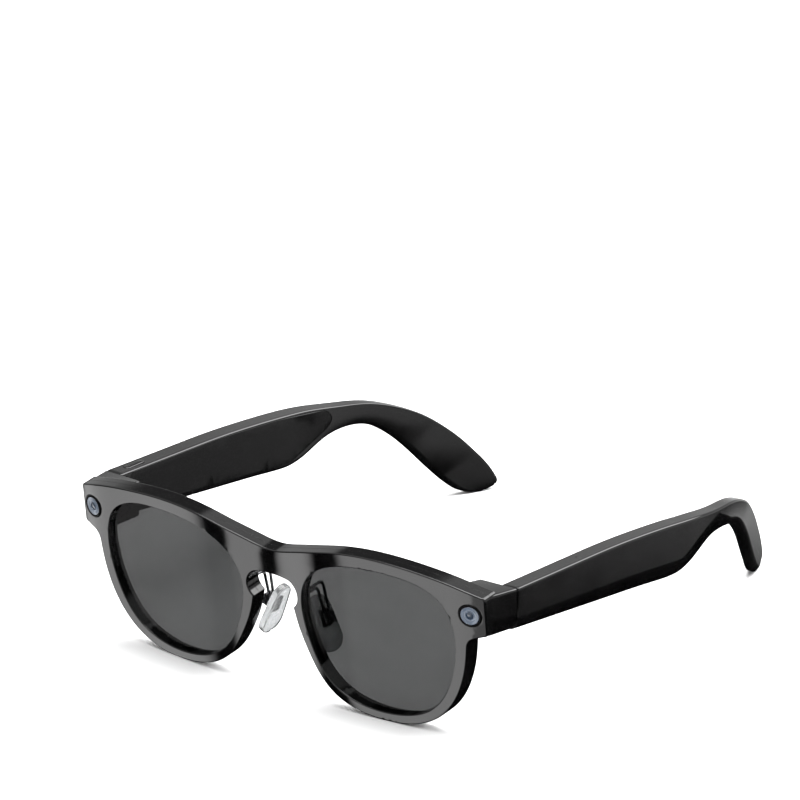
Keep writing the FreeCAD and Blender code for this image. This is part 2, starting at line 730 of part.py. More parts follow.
def pad_outline(sketch):
    """Two round ends joined by tangent sides."""
    half, top, bottom = num("pad_spacing") / 2, num("pad_upper_radius"), num("pad_lower_radius")
    lean = math.asin((bottom - top) / num("pad_spacing"))
    normal = Vector(0, 0, 1)
    upper = Part.ArcOfCircle(Part.Circle(Vector(0, half, 0), normal, top), lean, math.pi - lean)
    lower = Part.ArcOfCircle(Part.Circle(Vector(0, -half, 0), normal, bottom), math.pi - lean, 2 * math.pi + lean)
    sketch.addGeometry(upper, False)
    sketch.addGeometry(Part.LineSegment(upper.EndPoint, lower.StartPoint), False)
    sketch.addGeometry(lower, False)
    sketch.addGeometry(Part.LineSegment(lower.EndPoint, upper.StartPoint), False)
    for first in range(4):
        sketch.addConstraint(Sketcher.Constraint("Tangent", first, 2, (first + 1) % 4, 1))
    for index in (0, 2):
        sketch.addConstraint(Sketcher.Constraint("PointOnObject", index, 3, -2))
    constrain(sketch, "DistanceY", (-1, 1, 0, 3), dim("pad_spacing") / 2)
    constrain(sketch, "DistanceY", (2, 3, -1, 1), dim("pad_spacing") / 2)
    constrain(sketch, "Radius", (0,), dim("pad_upper_radius"))
    constrain(sketch, "Radius", (2,), dim("pad_lower_radius"))


def pad_box_shape():
    """The outside of the box that the arm's wires end in, in the pad's frame."""
    corner = BOX_OFFSET - Vector(BOX_SIDE / 2, BOX_HEIGHT / 2, 1.0)
    return Part.makeBox(BOX_SIDE, BOX_HEIGHT, BOX_DEPTH, corner)


def make_nose_pad(name, side):
    place = pad_place(side)
    body = new_body(f"nose_pad_{name}")
    sketch = new_sketch(body, "outline")
    pad_outline(sketch)
    round_edges(body, pad(body, sketch, dim("pad_thickness")), 0.9)
    body.Placement = place
    finish(body)

    half = num("pad_thickness") / 2
    spot = BOX_OFFSET
    foot = Part.makeBox(3.0, 5.0, 0.4, Vector(spot.x - 1.5, spot.y - 2.5, half + 0.01))
    tab_foot = Vector(spot.x - TAB_THICKNESS / 2, spot.y - 0.8, half + 0.01)
    tab = Part.makeBox(TAB_THICKNESS, 1.6, spot.z - half + 0.75, tab_foot)
    across = Vector(1, 0, 0)
    bore = Part.makeCylinder(num("pad_pin_radius") + num("pin_clearance"), 6, spot - across * 3, across)
    feature(f"nose_pad_insert_{name}", foot.fuse(tab).cut(bore), place)

    outer = pad_box_shape()
    room_corner = spot - Vector(TAB_THICKNESS / 2 + 0.15, BOX_HEIGHT / 2 - 0.45, 1.01)
    room = Part.makeBox(TAB_THICKNESS + 0.3, BOX_HEIGHT - 0.9, 1.9, room_corner)
    pin_hole = Part.makeCylinder(num("pad_pin_radius"), 6, spot - Vector(3, 0, 0), Vector(1, 0, 0))
    feature(f"nose_pad_box_{name}", outer.cut([room, pin_hole]), place)

    shank = Part.makeCylinder(num("pad_pin_radius"), BOX_SIDE, spot - across * (BOX_SIDE / 2), across)
    head = Part.makeCylinder(0.75, 0.35, spot + Vector(BOX_SIDE / 2, 0, 0), Vector(1, 0, 0))
    feature(f"nose_pad_screw_{name}", shank.fuse(head), place)


def arm_wire(side, reach, rise, box_x):
    """One wire of a nose-pad arm: back from the rim, over an arch and down to the box."""
    box_top = straight_place().inverse().multiply(pad_place(side)).multVec(
        Vector(box_x, BOX_OFFSET.y + BOX_HEIGHT / 2 - 0.02, BOX_OFFSET.z + 0.3))
    start = Vector(side * 10.2, 4.2, rise)
    corner = Vector(side * 9.9, reach, rise + 0.4)
    bend = 1.6
    ahead, down = (start - corner).normalize(), (box_top - corner).normalize()
    first, last = corner + ahead * bend, corner + down * bend
    middle = corner + (ahead + down) * (bend * 0.3)
    path = Part.Wire([segment(start, first), arc(first, middle, last), segment(last, box_top)])
    circle = Part.Circle(start, (corner - start).normalize(), num("wire_radius")).toShape()
    return path.makePipeShell([Part.Wire([circle])], True, False)


def arm_shape(side):
    """The arm's two wires, each ending flat on the pad box."""
    to_straight = straight_place().inverse().multiply(pad_place(side))
    box = pad_box_shape().transformed(to_straight.toMatrix(), True)
    wires = [arm_wire(side, 7.6, 32.9, -0.9 * side), arm_wire(side, 10.0, 34.1, 0.9 * side)]
    return [wire.cut(box) for wire in wires]


def arm_bores():
    return [to_front(wire) for side in SIDES.values() for wire in arm_shape(side)]


# ---------------------------------------------------------------- temples

CAVITY = [(20.6, 44.5), (60.0, 43.4), (88.0, 41.4), (101.0, 39.8), (103.0, 34.6), (100.0, 30.8), (95.0, 28.2),
          (86.0, 28.4), (60.0, 31.4), (20.6, 35.4)]
CAVITY_DEPTH = 4.4              # from the inner face
COVER = [(19.4, 45.9), (60.0, 44.7), (88.0, 42.4), (112.0, 39.2), (115.0, 36.0), (113.0, 33.2), (104.0, 29.4),
         (96.0, 26.6), (86.0, 27.2), (60.0, 30.0), (19.4, 34.0)]
SPEAKER_SLOTS = [62.0, 64.4, 66.8, 69.2, 71.6]


def temple_x(inward):
    """A depth inwards from the temple's flat outer face."""
    return num("temple_outside") - inward


def battery_place(side, y, z, x):
    return straight_place().multiply(Placement(Vector(side * x, y, z), Rotation(Vector(0, 0, 1), 90 * side)))


WIRE_POINTS = ((117.0, 35.2), (139.5, 27.6), (157.5, 10.4))


def core_wire_shape():
    """The stiffening wire that runs down the ear hook."""
    points = [Vector(temple_outside(y) - temple_depth(y) / 2, y, z) for y, z in WIRE_POINTS]
    path = Part.Wire([arc(*points)])
    start = path.Edges[0]
    circle = Part.Circle(points[0], start.tangentAt(start.FirstParameter), 0.7).toShape()
    return path.makePipeShell([Part.Wire([circle])], True, False)


def make_temple(name, side):
    body = temple_solid()
    cover_cut = side_prism(COVER, 40, 90).common(inner_face_slab(-3, num("cover_thickness"), 17, 117))
    cavity = side_prism(CAVITY, 40, num("temple_outside") - num("wall")).common(
        inner_face_slab(-3, CAVITY_DEPTH, 17, 112))
    hinge_room = Part.makeBox(8.2, 2.6, HINGE_ROOM_TOP - HINGE_ROOM_BOTTOM, Vector(63.5, 15.3, HINGE_ROOM_BOTTOM))
    low = float(hinge_levels()[1])
    leaf = Part.makeBox(3.8, 1.62, num("knuckle_middle") + 0.02, Vector(69.25, 15.69, low - 0.01))
    plate = Part.makeBox(num("leaf_plate") + 0.02, 12.4, LEAF_TOP - LEAF_BOTTOM + 0.04,
                         Vector(73.0 - num("leaf_plate") - 0.01, 15.65, LEAF_BOTTOM - 0.02))
    wire = core_wire_shape()
    slots = [Part.makeBox(2.4, 0.9, 9, Vector(71.3, y, 24.5)) for y in SPEAKER_SLOTS]
    mic = Part.makeCylinder(0.3, 6, Vector(temple_x(3.0), 47.0, 42), Vector(0, 0, 1))
    tools = [cover_cut, cavity, hinge_room, leaf, plate, wire, mic] + slots
    if side < 0:
        tools.append(button_pocket())
    else:
        tools += contact_shapes()
    shell = body.cut(tools)
    charging = contact_shapes() + [charging_recess()] if side > 0 else []
    cover = body.common(cover_cut).cut([hinge_room, leaf, plate] + charging)
    feature(f"temple_shell_{name}", mirrored(shell, side), straight_place())
    feature(f"temple_cover_{name}", mirrored(cover, side), straight_place())
    feature(f"core_wire_{name}", mirrored(wire, side), straight_place())

    middle = temple_x(num("wall") + 1.55)
    finish(box_body(f"battery_{name}", dim("battery_length"), dim("battery_height"), dim("battery_thickness"),
                    battery_place(side, 72.5, 36.4, middle), 0.8))
    make_circuit_board(name, side, middle)
    finish(box_body(f"speaker_{name}", dim("speaker_length"), dim("speaker_height"), dim("speaker_thickness"),
                    battery_place(side, 94.5, 33.8, middle - 0.5), 0.5))
    finish(box_body(f"microphone_{name}", fixed(3.4), fixed(1.0), fixed(2.4),
                    battery_place(side, 47.0, 43.15, middle), 0.15))


def make_circuit_board(name, side, middle):
    """A board with two shielded chips on its inner face."""
    body = new_body(f"circuit_board_{name}")
    outline = new_sketch(body, "outline", "XZ_Plane")
    draw_rectangle(outline, dim("board_length"), dim("board_height"))
    pad(body, outline, dim("board_thickness"))
    for tag, left, right in (("processor", -10.5, -2.5), ("radio", 1.0, 9.0)):
        chip_sketch = new_sketch(body, tag, "XZ_Plane")
        draw_outline(chip_sketch, [(fixed(left), fixed(-3.2)), (fixed(right), fixed(-3.2)),
                                   (fixed(right), fixed(3.2)), (fixed(left), fixed(3.2))])
        chip = body.newObject("PartDesign::Pad", f"{body.Name}_{tag}_pad")
        chip.Profile = chip_sketch
        chip.setExpression("Length", (dim("board_thickness") / 2 + 0.9).text)
    body.Placement = battery_place(side, 42.0, 38.75, middle - 0.3)
    finish(body)


BUTTON_Y, BUTTON_TOP = 24.5, 46.5


def button_pocket():
    """The button's slot in the top of the temple, with room round the button (left-hand coordinates)."""
    room = 0.12
    length, width = num("button_length") + 2 * room, num("button_width") + 2 * room
    x, y = temple_x(num("temple_thickness") / 2), BUTTON_Y
    floor, height = 43.6, 4.4
    slot = Part.makeBox(width, length - width, height, Vector(x - width / 2, y - (length - width) / 2, floor))
    for end in (-1, 1):
        end_middle = Vector(x, y + end * (length - width) / 2, floor)
        slot = slot.fuse(Part.makeCylinder(width / 2, height, end_middle))
    return slot


def make_button():
    """The power button on the right temple, and the dome switch under it."""
    body = new_body("power_button")
    sketch = new_sketch(body, "outline")
    width, length = num("button_width"), num("button_length")
    straight = (length - width) / 2
    normal = Vector(0, 0, 1)
    rear = Part.ArcOfCircle(Part.Circle(Vector(0, straight, 0), normal, width / 2), 0, math.pi)
    near = Part.ArcOfCircle(Part.Circle(Vector(0, -straight, 0), normal, width / 2), math.pi, 2 * math.pi)
    sketch.addGeometry(rear, False)
    sketch.addGeometry(Part.LineSegment(rear.EndPoint, near.StartPoint), False)
    sketch.addGeometry(near, False)
    sketch.addGeometry(Part.LineSegment(near.EndPoint, rear.StartPoint), False)
    for first in range(4):
        sketch.addConstraint(Sketcher.Constraint("Tangent", first, 2, (first + 1) % 4, 1))
    for index in (0, 2):
        sketch.addConstraint(Sketcher.Constraint("PointOnObject", index, 3, -2))
    reach = (dim("button_length") - dim("button_width")) / 2
    constrain(sketch, "DistanceY", (-1, 1, 0, 3), reach)
    constrain(sketch, "DistanceY", (2, 3, -1, 1), reach)
    constrain(sketch, "Radius", (0,), dim("button_width") / 2)
    round_edges(body, pad(body, sketch, dim("button_height"), middle=False), 0.3)
    x = -temple_x(num("temple_thickness") / 2)
    body.Placement = straight_place().multiply(
        Placement(Vector(x, BUTTON_Y, BUTTON_TOP - num("button_height")), Rotation()))
    finish(body)
    switch = box_body("button_switch", fixed(3.2), fixed(0.7), fixed(1.8),
                      battery_place(-1, BUTTON_Y, 44.15, -x), 0.1)
    finish(switch)


CONTACT_ROWS = (32.0, 35.0, 38.0, 41.0)
CONTACT_HEIGHT = 39.5
RECESS_DEPTH, RECESS_LENGTH, RECESS_RISE = 0.3, 13.8, 4.6


def contact_shapes():
    """The four charging contacts in the left temple's inner cover (level frame)."""
    floor = num("temple_outside") - num("temple_thickness") + RECESS_DEPTH
    feet = [Vector(floor - 0.1, y, CONTACT_HEIGHT) for y in CONTACT_ROWS]
    return [Part.makeCylinder(0.8, 1.6, foot, Vector(1, 0, 0)) for foot in feet]


def charging_recess():
    """The shallow flat-bottomed recess round the contacts."""
    face = num("temple_outside") - num("temple_thickness")
    middle = (CONTACT_ROWS[0] + CONTACT_ROWS[-1]) / 2
    corner = Vector(face - 1, middle - RECESS_LENGTH / 2, CONTACT_HEIGHT - RECESS_RISE / 2)
    return Part.makeBox(1 + RECESS_DEPTH, RECESS_LENGTH, RECESS_RISE, corner)


# ---------------------------------------------------------------- build and write

make_front()
feature("shell_screws", Part.makeCompound(shell_screw_shapes()), front_place())
for side_name, side_sign in SIDES.items():
    make_camera(side_name, side_sign)
    make_hinge(side_name, side_sign)
    make_nose_pad(side_name, side_sign)
    arms = arm_shape(side_sign)
    feature(f"nose_arm_{side_name}", Part.makeCompound(arms), straight_place())
    make_temple(side_name, side_sign)
make_button()
feature("charging_contacts", Part.makeCompound(contact_shapes()), straight_place())

doc.recompute()
for obj in doc.Objects:
    if "Invalid" in obj.State or "Error" in obj.State:
        raise RuntimeError(f"{obj.Name} failed: {obj.State}")
for node in nodes:
    if node.Shape.isNull() or not node.Shape.isValid():
        raise RuntimeError(f"{node.Label} has no valid shape")
for node in nodes:
    node.Shape.exportStep(os.path.join("parts", f"{node.Label}.step"))
    box = node.Shape.optimalBoundingBox(True, False)
    print(f"{node.Label:28s} {len(node.Shape.Solids)} solid(s) {node.Shape.Volume:9.2f} mm3  "
          f"x {box.XMin:7.2f} {box.XMax:7.2f}  y {box.YMin:7.2f} {box.YMax:7.2f}  "
          f"z {box.ZMin:6.2f} {box.ZMax:6.2f}")
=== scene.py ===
"""The looks of the smart glasses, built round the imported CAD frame.

Shapes are drawn in millimetres in one of three places, the leaning front, the straight temples or a part's
own place, and made in metres. X points to the wearer's left, Y back along the temples and Z up.
"""
import json
import math
from contextlib import contextmanager

import bmesh
import bpy
import numpy as np
from mathutils import Matrix, Vector
from mathutils.geometry import delaunay_2d_cdt


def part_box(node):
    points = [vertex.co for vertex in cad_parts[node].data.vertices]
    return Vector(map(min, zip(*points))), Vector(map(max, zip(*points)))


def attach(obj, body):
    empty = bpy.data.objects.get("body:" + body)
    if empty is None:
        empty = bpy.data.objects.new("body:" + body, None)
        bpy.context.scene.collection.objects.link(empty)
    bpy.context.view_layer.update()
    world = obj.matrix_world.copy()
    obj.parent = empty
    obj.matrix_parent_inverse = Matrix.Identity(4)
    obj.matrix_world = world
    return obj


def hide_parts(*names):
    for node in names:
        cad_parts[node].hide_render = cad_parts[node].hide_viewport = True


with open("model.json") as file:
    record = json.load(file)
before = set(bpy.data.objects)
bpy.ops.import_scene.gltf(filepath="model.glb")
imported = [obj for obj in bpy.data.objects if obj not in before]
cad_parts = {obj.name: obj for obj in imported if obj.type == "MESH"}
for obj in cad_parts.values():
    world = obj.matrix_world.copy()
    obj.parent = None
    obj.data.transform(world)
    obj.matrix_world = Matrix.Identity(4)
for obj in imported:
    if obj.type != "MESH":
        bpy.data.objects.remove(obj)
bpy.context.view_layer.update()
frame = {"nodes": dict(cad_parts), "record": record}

MM = 0.001
SIDES = {"left": 1, "right": -1}

# ------ places


def node_middle(node):
    low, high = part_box(node)
    return (low + high) / (2 * MM)


HINGE_BEHIND = 15.25  # the hinge pins, behind the front's reference plane
PIVOT_HEIGHT = 28.2
FRONT_TILT = math.radians(7.5)
hinge_pin = node_middle("hinge_pin_left")
reference_y = hinge_pin.y - HINGE_BEHIND
STRAIGHT = Matrix.Translation((0, reference_y, 0))
FRONT = Matrix.Translation((0, reference_y, PIVOT_HEIGHT)) @ Matrix.Rotation(FRONT_TILT, 4, "X")

# ------ curves


def spline(points, closed=False, spacing=0.8):
    """A smooth curve through every point, sampled at about one spacing."""
    knots = np.array(list(points) + (list(points[:1]) if closed else []), float)
    spans = np.linalg.norm(np.diff(knots, axis=0), axis=1)
    slopes = np.diff(knots, axis=0) / spans[:, None]
    count = len(knots)
    system, right = np.zeros((count, count)), np.zeros(knots.shape)
    for i in range(1, count - 1):
        system[i, i - 1:i + 2] = spans[i], 2 * (spans[i - 1] + spans[i]), spans[i - 1]
        right[i] = 3 * (spans[i] * slopes[i - 1] + spans[i - 1] * slopes[i])
    if closed:
        system[0, 0], system[0, -1] = 1, -1
        system[-1, [-2, -1, 1]] = spans[0], 2 * (spans[-1] + spans[0]), spans[-1]
        right[-1] = 3 * (spans[0] * slopes[-1] + spans[-1] * slopes[0])
    else:
        system[0, :2], right[0] = (2, 1), 3 * slopes[0]
        system[-1, -2:], right[-1] = (1, 2), 3 * slopes[-1]
    tangents = np.linalg.solve(system, right)
    result = []
    for i, span in enumerate(spans):
        steps = max(2, round(span / spacing))
        for step in range(steps):
            s = step / steps
            result.append(
                (2 * s ** 3 - 3 * s ** 2 + 1) * knots[i]
                + (s ** 3 - 2 * s ** 2 + s) * span * tangents[i]
                + (3 * s ** 2 - 2 * s ** 3) * knots[i + 1]
                + (s ** 3 - s ** 2) * span * tangents[i + 1])
    if not closed:
        result.append(knots[-1])
    return [tuple(p) for p in result]


def arc(start, middle, stop, steps=8):
    """Points along the circle through three points."""
    a, b, c = complex(*start), complex(*middle), complex(*stop)
    w = (c - a) / (b - a)
    centre = a + (b - a) * (w - abs(w) ** 2) / (2j * w.imag)
    first, second = (b - centre) / (a - centre), (c - centre) / (b - centre)
    turn = math.atan2(first.imag, first.real) + math.atan2(second.imag, second.real)
    spots = [centre + (a - centre) * complex(math.cos(turn * k / steps), math.sin(turn * k / steps))
             for k in range(steps + 1)]
    return [(p.real, p.imag) for p in spots]


def without_repeats(points, least=0.02):
    """A closed outline without the points that lie on top of the one before."""
    kept = []
    for p in points:
        if not kept or math.dist(p, kept[-1]) > least:
            kept.append(tuple(p))
    if math.dist(kept[0], kept[-1]) <= least:
        kept.pop()
    return kept


def ring(radius_u, radius_v, centre=(0, 0), count=64):
    """A closed ellipse of points."""
    return [(centre[0] + radius_u * math.cos(2 * math.pi * k / count),
             centre[1] + radius_v * math.sin(2 * math.pi * k / count)) for k in range(count)]


def area(loop):
    """The area inside a loop, positive where it runs anticlockwise."""
    a = np.array(loop)
    b = np.roll(a, -1, 0)
    return float((a[:, 0] * b[:, 1] - b[:, 0] * a[:, 1]).sum() / 2)


def inset(loop, distance):
    """A loop moved into the material on its left."""
    a = np.array(loop, float)
    ahead, behind = np.roll(a, -1, 0) - a, a - np.roll(a, 1, 0)
    ahead /= np.linalg.norm(ahead, axis=1)[:, None]
    behind /= np.linalg.norm(behind, axis=1)[:, None]
    left = np.stack([-(ahead + behind)[:, 1], (ahead + behind)[:, 0]], 1)
    left /= np.linalg.norm(left, axis=1)[:, None]
    lean = np.stack([-ahead[:, 1], ahead[:, 0]], 1)
    reach = 1 / np.maximum((left * lean).sum(1), 0.6)
    return a + left * (distance * reach)[:, None]


def grown(loop, distance):
    """A loop moved outwards, or inwards where the distance is negative."""
    return [tuple(p) for p in inset(loop if area(loop) > 0 else loop[::-1], -distance)]


def inside(spots, loops):
    """Which spots lie inside the material between the loops."""
    x, y = spots[:, 0][:, None], spots[:, 1][:, None]
    crossings = np.zeros(len(spots), int)
    for loop in loops:
        a = np.array(loop)
        b = np.roll(a, -1, 0)
        spans = (a[:, 1] > y) != (b[:, 1] > y)
        rise = np.where(b[:, 1] == a[:, 1], 1e-9, b[:, 1] - a[:, 1])
        crossings += (spans & (x < a[:, 0] + (y - a[:, 1]) * (b[:, 0] - a[:, 0]) / rise)).sum(1)
    return crossings % 2 == 1


# ------ meshes


def add_object(name, data):
    made = bpy.data.objects.new(name, data)
    bpy.context.scene.collection.objects.link(made)
    return made


def mesh_from(name, shape):
    """A mesh from a shape, a list of vertices and one of faces."""
    mesh = bpy.data.meshes.new(name)
    mesh.from_pydata([tuple(v) for v in shape[0]], [], shape[1])
    return mesh


@contextmanager
def edited(mesh):
    """A mesh's bmesh, written back afterwards."""
    build = bmesh.new()
    build.from_mesh(mesh)
    yield build
    build.to_mesh(mesh)
    build.free()


def make_piece(name, shape, place, body, slot, material, *nodes, angle=35):
    """A piece from a shape in millimetres in a place, riding on a body and standing for CAD nodes."""
    wrap_piece(name, mesh_from(name, shape), place, body, slot, material, *nodes, angle=angle)


def wrap_piece(name, mesh, place, body, slot, material, *nodes, angle=35):
    """A piece from a mesh, like make_piece."""
    with edited(mesh) as build:
        bmesh.ops.remove_doubles(build, verts=build.verts, dist=1e-5)
        bmesh.ops.recalc_face_normals(build, faces=build.faces)
        build.transform(Matrix.Scale(MM, 4) @ place)
        if place.determinant() < 0:
            bmesh.ops.reverse_faces(build, faces=build.faces)
    piece = add_object(name, mesh)
    mesh.materials.append(material)
    mesh.shade_smooth()
    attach(piece, body)
    if nodes:
        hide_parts(*nodes)
    finish_shading(piece, angle)


def finish_shading(piece, angle):
    """Smooth shading that keeps flat faces flat, and edges sharper than an angle in degrees sharp."""
    with edited(piece.data) as build:
        for edge in build.edges:
            edge.smooth = len(edge.link_faces) == 2 and edge.calc_face_angle(0) < math.radians(angle)
    weighted = piece.modifiers.new("flat_faces", "WEIGHTED_NORMAL")
    weighted.keep_sharp = True
    weighted.weight = 80


def fill(loops, spacing):
    """Triangles between loops: points, triangles, each point's place in the loops or -1, loop point count."""
    border = [tuple(p) for loop in loops for p in loop]
    edges, start = [], 0
    for loop in loops:
        count = len(loop)
        edges += [(start + i, start + (i + 1) % count) for i in range(count)]
        start += count
    flat = np.array(border)
    low, high = flat.min(0), flat.max(0)
    grid = np.array([(x, y) for x in np.arange(low[0] + spacing / 2, high[0], spacing)
                     for y in np.arange(low[1] + spacing / 2, high[1], spacing)])
    grid = grid[inside(grid, loops)]
    gaps = np.sqrt(((grid[:, None, :] - flat[None, :, :]) ** 2).sum(2)).min(1)
    points = border + [tuple(p) for p in grid[gaps > 0.45 * spacing]]
    spots, _, faces, origin, _, _ = delaunay_2d_cdt([Vector(p) for p in points], edges, [], 0, 1e-6)
    middles = np.array([sum((np.array(spots[i]) for i in f), np.zeros(2)) / len(f) for f in faces])
    kept = inside(middles, loops)
    sources = [o[0] if o else -1 for o in origin]
    return [tuple(s) for s in spots], [f for f, keep in zip(faces, kept) if keep], sources, len(border)


def rounded_plate(loops, near, far, near_round, far_round, spacing=2.0, steps=4):
    """A plate between two depths with its edges rounded: vertices (u, depth, v) and faces.

    The near rounding is one radius, or one for each loop.
    """
    loops = [loops[0] if area(loops[0]) > 0 else loops[0][::-1]] + [
        hole if area(hole) < 0 else hole[::-1] for hole in loops[1:]]
    near_rounds = near_round if isinstance(near_round, list) else [near_round] * len(loops)
    rings = []
    for k in range(steps + 1):
        a = math.pi / 2 * k / steps
        rings.append([(r * (1 - math.sin(a)), near + r * (1 - math.cos(a))) for r in near_rounds])
    for k in range(steps + 1):
        a = math.pi / 2 * (1 - k / steps)
        rings.append([(far_round * (1 - math.sin(a)), far - far_round * (1 - math.cos(a)))] * len(loops))
    vertices, faces = [], []
    counts = [len(loop) for loop in loops]
    for levels in rings:
        for loop, (offset, depth) in zip(loops, levels):
            vertices += [(u, depth, v) for u, v in inset(loop, offset)]
    total = sum(counts)
    for level in range(len(rings) - 1):
        start = level * total
        for count in counts:
            for i in range(count):
                j = (i + 1) % count
                faces.append((start + i, start + j, start + total + j, start + total + i))
            start += count
    for level, depth in ((0, near), (len(rings) - 1, far)):
        moved = [inset(loop, offset) for loop, (offset, _) in zip(loops, rings[level])]
        spots, triangles, sources, border = fill(moved, spacing)
        index = []
        for spot, source in zip(spots, sources):
            if 0 <= source < border:
                index.append(level * total + source)
            else:
                index.append(len(vertices))
                vertices.append((spot[0], depth, spot[1]))
        faces += [tuple(index[i] for i in t) for t in triangles]
    return vertices, faces


def lathe(outline, count=96):
    """A turned shape about Y from (radius, depth) points; one that doesn't meet the axis closes on itself."""
    vertices, faces = [], []
    on_axis = [radius < 1e-6 for radius, _ in outline]
    starts = []
    for (radius, depth), single in zip(outline, on_axis):
        starts.append(len(vertices))
        if single:
            vertices.append((0, depth, 0))
        else:
            vertices += [(u, depth, v) for u, v in ring(radius, radius, count=count)]
    pairs = list(zip(range(len(outline) - 1), range(1, len(outline))))
    if not any(on_axis):
        pairs.append((len(outline) - 1, 0))
    for a, b in pairs:
        if on_axis[a] and on_axis[b]:
            continue
        for i in range(count):
            j = (i + 1) % count
            if on_axis[a]:
                faces.append((starts[a], starts[b] + i, starts[b] + j))
            elif on_axis[b]:
                faces.append((starts[a] + i, starts[b], starts[a] + j))
            else:
                faces.append((starts[a] + i, starts[b] + i, starts[b] + j, starts[a] + j))
    return vertices, faces


def box_mesh(low, high):
    vertices = [(x, y, z) for x in (low[0], high[0]) for y in (low[1], high[1]) for z in (low[2], high[2])]
    faces = [(0, 1, 3, 2), (4, 6, 7, 5), (0, 4, 5, 1), (2, 3, 7, 6), (0, 2, 6, 4), (1, 5, 7, 3)]
    return vertices, faces


def scratch(name, shape):
    """A helper object for the booleans."""
    mesh = mesh_from(name, shape)
    with edited(mesh) as build:
        bmesh.ops.recalc_face_normals(build, faces=build.faces)
    return add_object(name, mesh)


def combined(base, added=(), cut=()):
    """The mesh of a base shape with some shapes added and others then cut away."""
    target = scratch("base_shape", base)
    tools = []
    for operation, shape in [("UNION", shape) for shape in added] + [("DIFFERENCE", shape) for shape in cut]:
        tools.append(scratch("tool_shape", shape))
        modifier = target.modifiers.new(operation.lower(), "BOOLEAN")
        modifier.operation = operation
        modifier.solver = "EXACT"
        modifier.object = tools[-1]
    depsgraph = bpy.context.evaluated_depsgraph_get()
    mesh = bpy.data.meshes.new_from_object(target.evaluated_get(depsgraph))
    for piece in tools + [target]:
        bpy.data.objects.remove(piece)
    return mesh


def flipped(shape, side):
    """A left-hand shape, or its mirror image on the right."""
    return shape if side > 0 else ([(-x, y, z) for x, y, z in shape[0]], shape[1])


# ------ materials


NOISE_ROUGHNESS = 0.55
GRAIN_SCALE = 1400  # the metals' grain


def add_node(tree, kind, **settings):
    made = tree.nodes.new(kind)
    for key, value in settings.items():
        setattr(made, key, value)
    return made


def map_range(tree, value, start, stop, low, high, **settings):
    """A value between low and high as another goes from start to stop."""
    made = add_node(tree, "ShaderNodeMapRange", **settings)
    for key, number in (("From Min", start), ("From Max", stop), ("To Min", low), ("To Max", high)):
        made.inputs[key].default_value = number
    tree.links.new(value, made.inputs["Value"])
    return made.outputs["Result"]


def set_stops(ramp, stops):
    """A colour ramp's (position, colour) stops."""
    elements = ramp.color_ramp.elements
    while len(elements) < len(stops):
        elements.new(0.5)
    for element, (position, colour) in zip(elements, stops):
        element.position, element.color = position, (*colour, 1)


class Paint:
    """A node material with small helpers."""

    def __init__(self, name):
        self.material = bpy.data.materials.new(name)
        self.material.use_nodes = True
        self.tree = self.material.node_tree
        self.shader = self.tree.nodes["Principled BSDF"]
        self.place = self.node("ShaderNodeTexCoord").outputs["Object"]

    def node(self, kind, **settings):
        return add_node(self.tree, kind, **settings)

    def link(self, a, b):
        self.tree.links.new(a, b)

    def stretched(self, scale):
        mapping = self.node("ShaderNodeMapping")
        mapping.inputs["Scale"].default_value = scale
        self.link(self.place, mapping.inputs["Vector"])
        return mapping.outputs["Vector"]

    def noise(self, scale, detail=4.0, vector=None):
        made = self.node("ShaderNodeTexNoise")
        made.inputs["Scale"].default_value = scale
        made.inputs["Detail"].default_value = detail
        made.inputs["Roughness"].default_value = NOISE_ROUGHNESS
        self.link(vector or self.place, made.inputs["Vector"])
        return made.outputs["Fac"]

    def ramp(self, value, low, high, start=0.0, stop=1.0):
        return map_range(self.tree, value, start, stop, low, high)

    def tint(self, value, *stops):
        """The base colour, from (position, colour) stops."""
        made = self.node("ShaderNodeValToRGB")
        set_stops(made, stops)
        self.link(value, made.inputs["Fac"])
        self.feed("Base Color", made.outputs["Color"])

    def relief(self, value, distance, strength):
        made = self.node("ShaderNodeBump")
        made.inputs["Distance"].default_value = distance
        made.inputs["Strength"].default_value = strength
        self.link(value, made.inputs["Height"])
        self.feed("Normal", made.outputs["Normal"])

    def set(self, **values):
        """Uniform values on the shader, with underscores for spaces."""
        for key, value in values.items():
            self.shader.inputs[key.replace("_", " ")].default_value = value

    def feed(self, key, output):
        self.link(output, self.shader.inputs[key])


def plastic(name, dark, light, smooth, dull, specular=0.5):
    """Injection-moulded black plastic: a faint flow mottle, a polished skin and fine handling marks."""
    paint = Paint(name)
    flow = paint.noise(90, 5)
    paint.tint(flow, (0.35, dark), (0.7, light))
    hairlines = paint.noise(900, 3, paint.stretched((1.0, 0.06, 0.35)))
    mottle = paint.node("ShaderNodeMath", operation="ADD")
    paint.link(paint.ramp(flow, smooth, dull, 0.3, 0.75), mottle.inputs[0])
    paint.link(paint.ramp(hairlines, 0, 0.03, 0.62, 0.8), mottle.inputs[1])
    paint.feed("Roughness", mottle.outputs["Value"])
    paint.relief(paint.noise(45, 2), 0.00002, 0.12)
    paint.set(IOR=1.5, Specular_IOR_Level=specular)
    return paint.material


def tinted_glass():
    """Neutral grey nylon lens, see-through, with the faintest wipe marks."""
    paint = Paint("tinted_lens_grey")
    wipe = paint.noise(60, 5, paint.stretched((1, 1, 2.5)))
    paint.feed("Roughness", paint.ramp(wipe, 0.0, 0.008, 0.4, 0.75))
    paint.tint(wipe, (0.3, (0.040, 0.041, 0.041)), (0.8, (0.044, 0.045, 0.045)))
    paint.set(IOR=1.1, Transmission_Weight=1.0)
    return paint.material


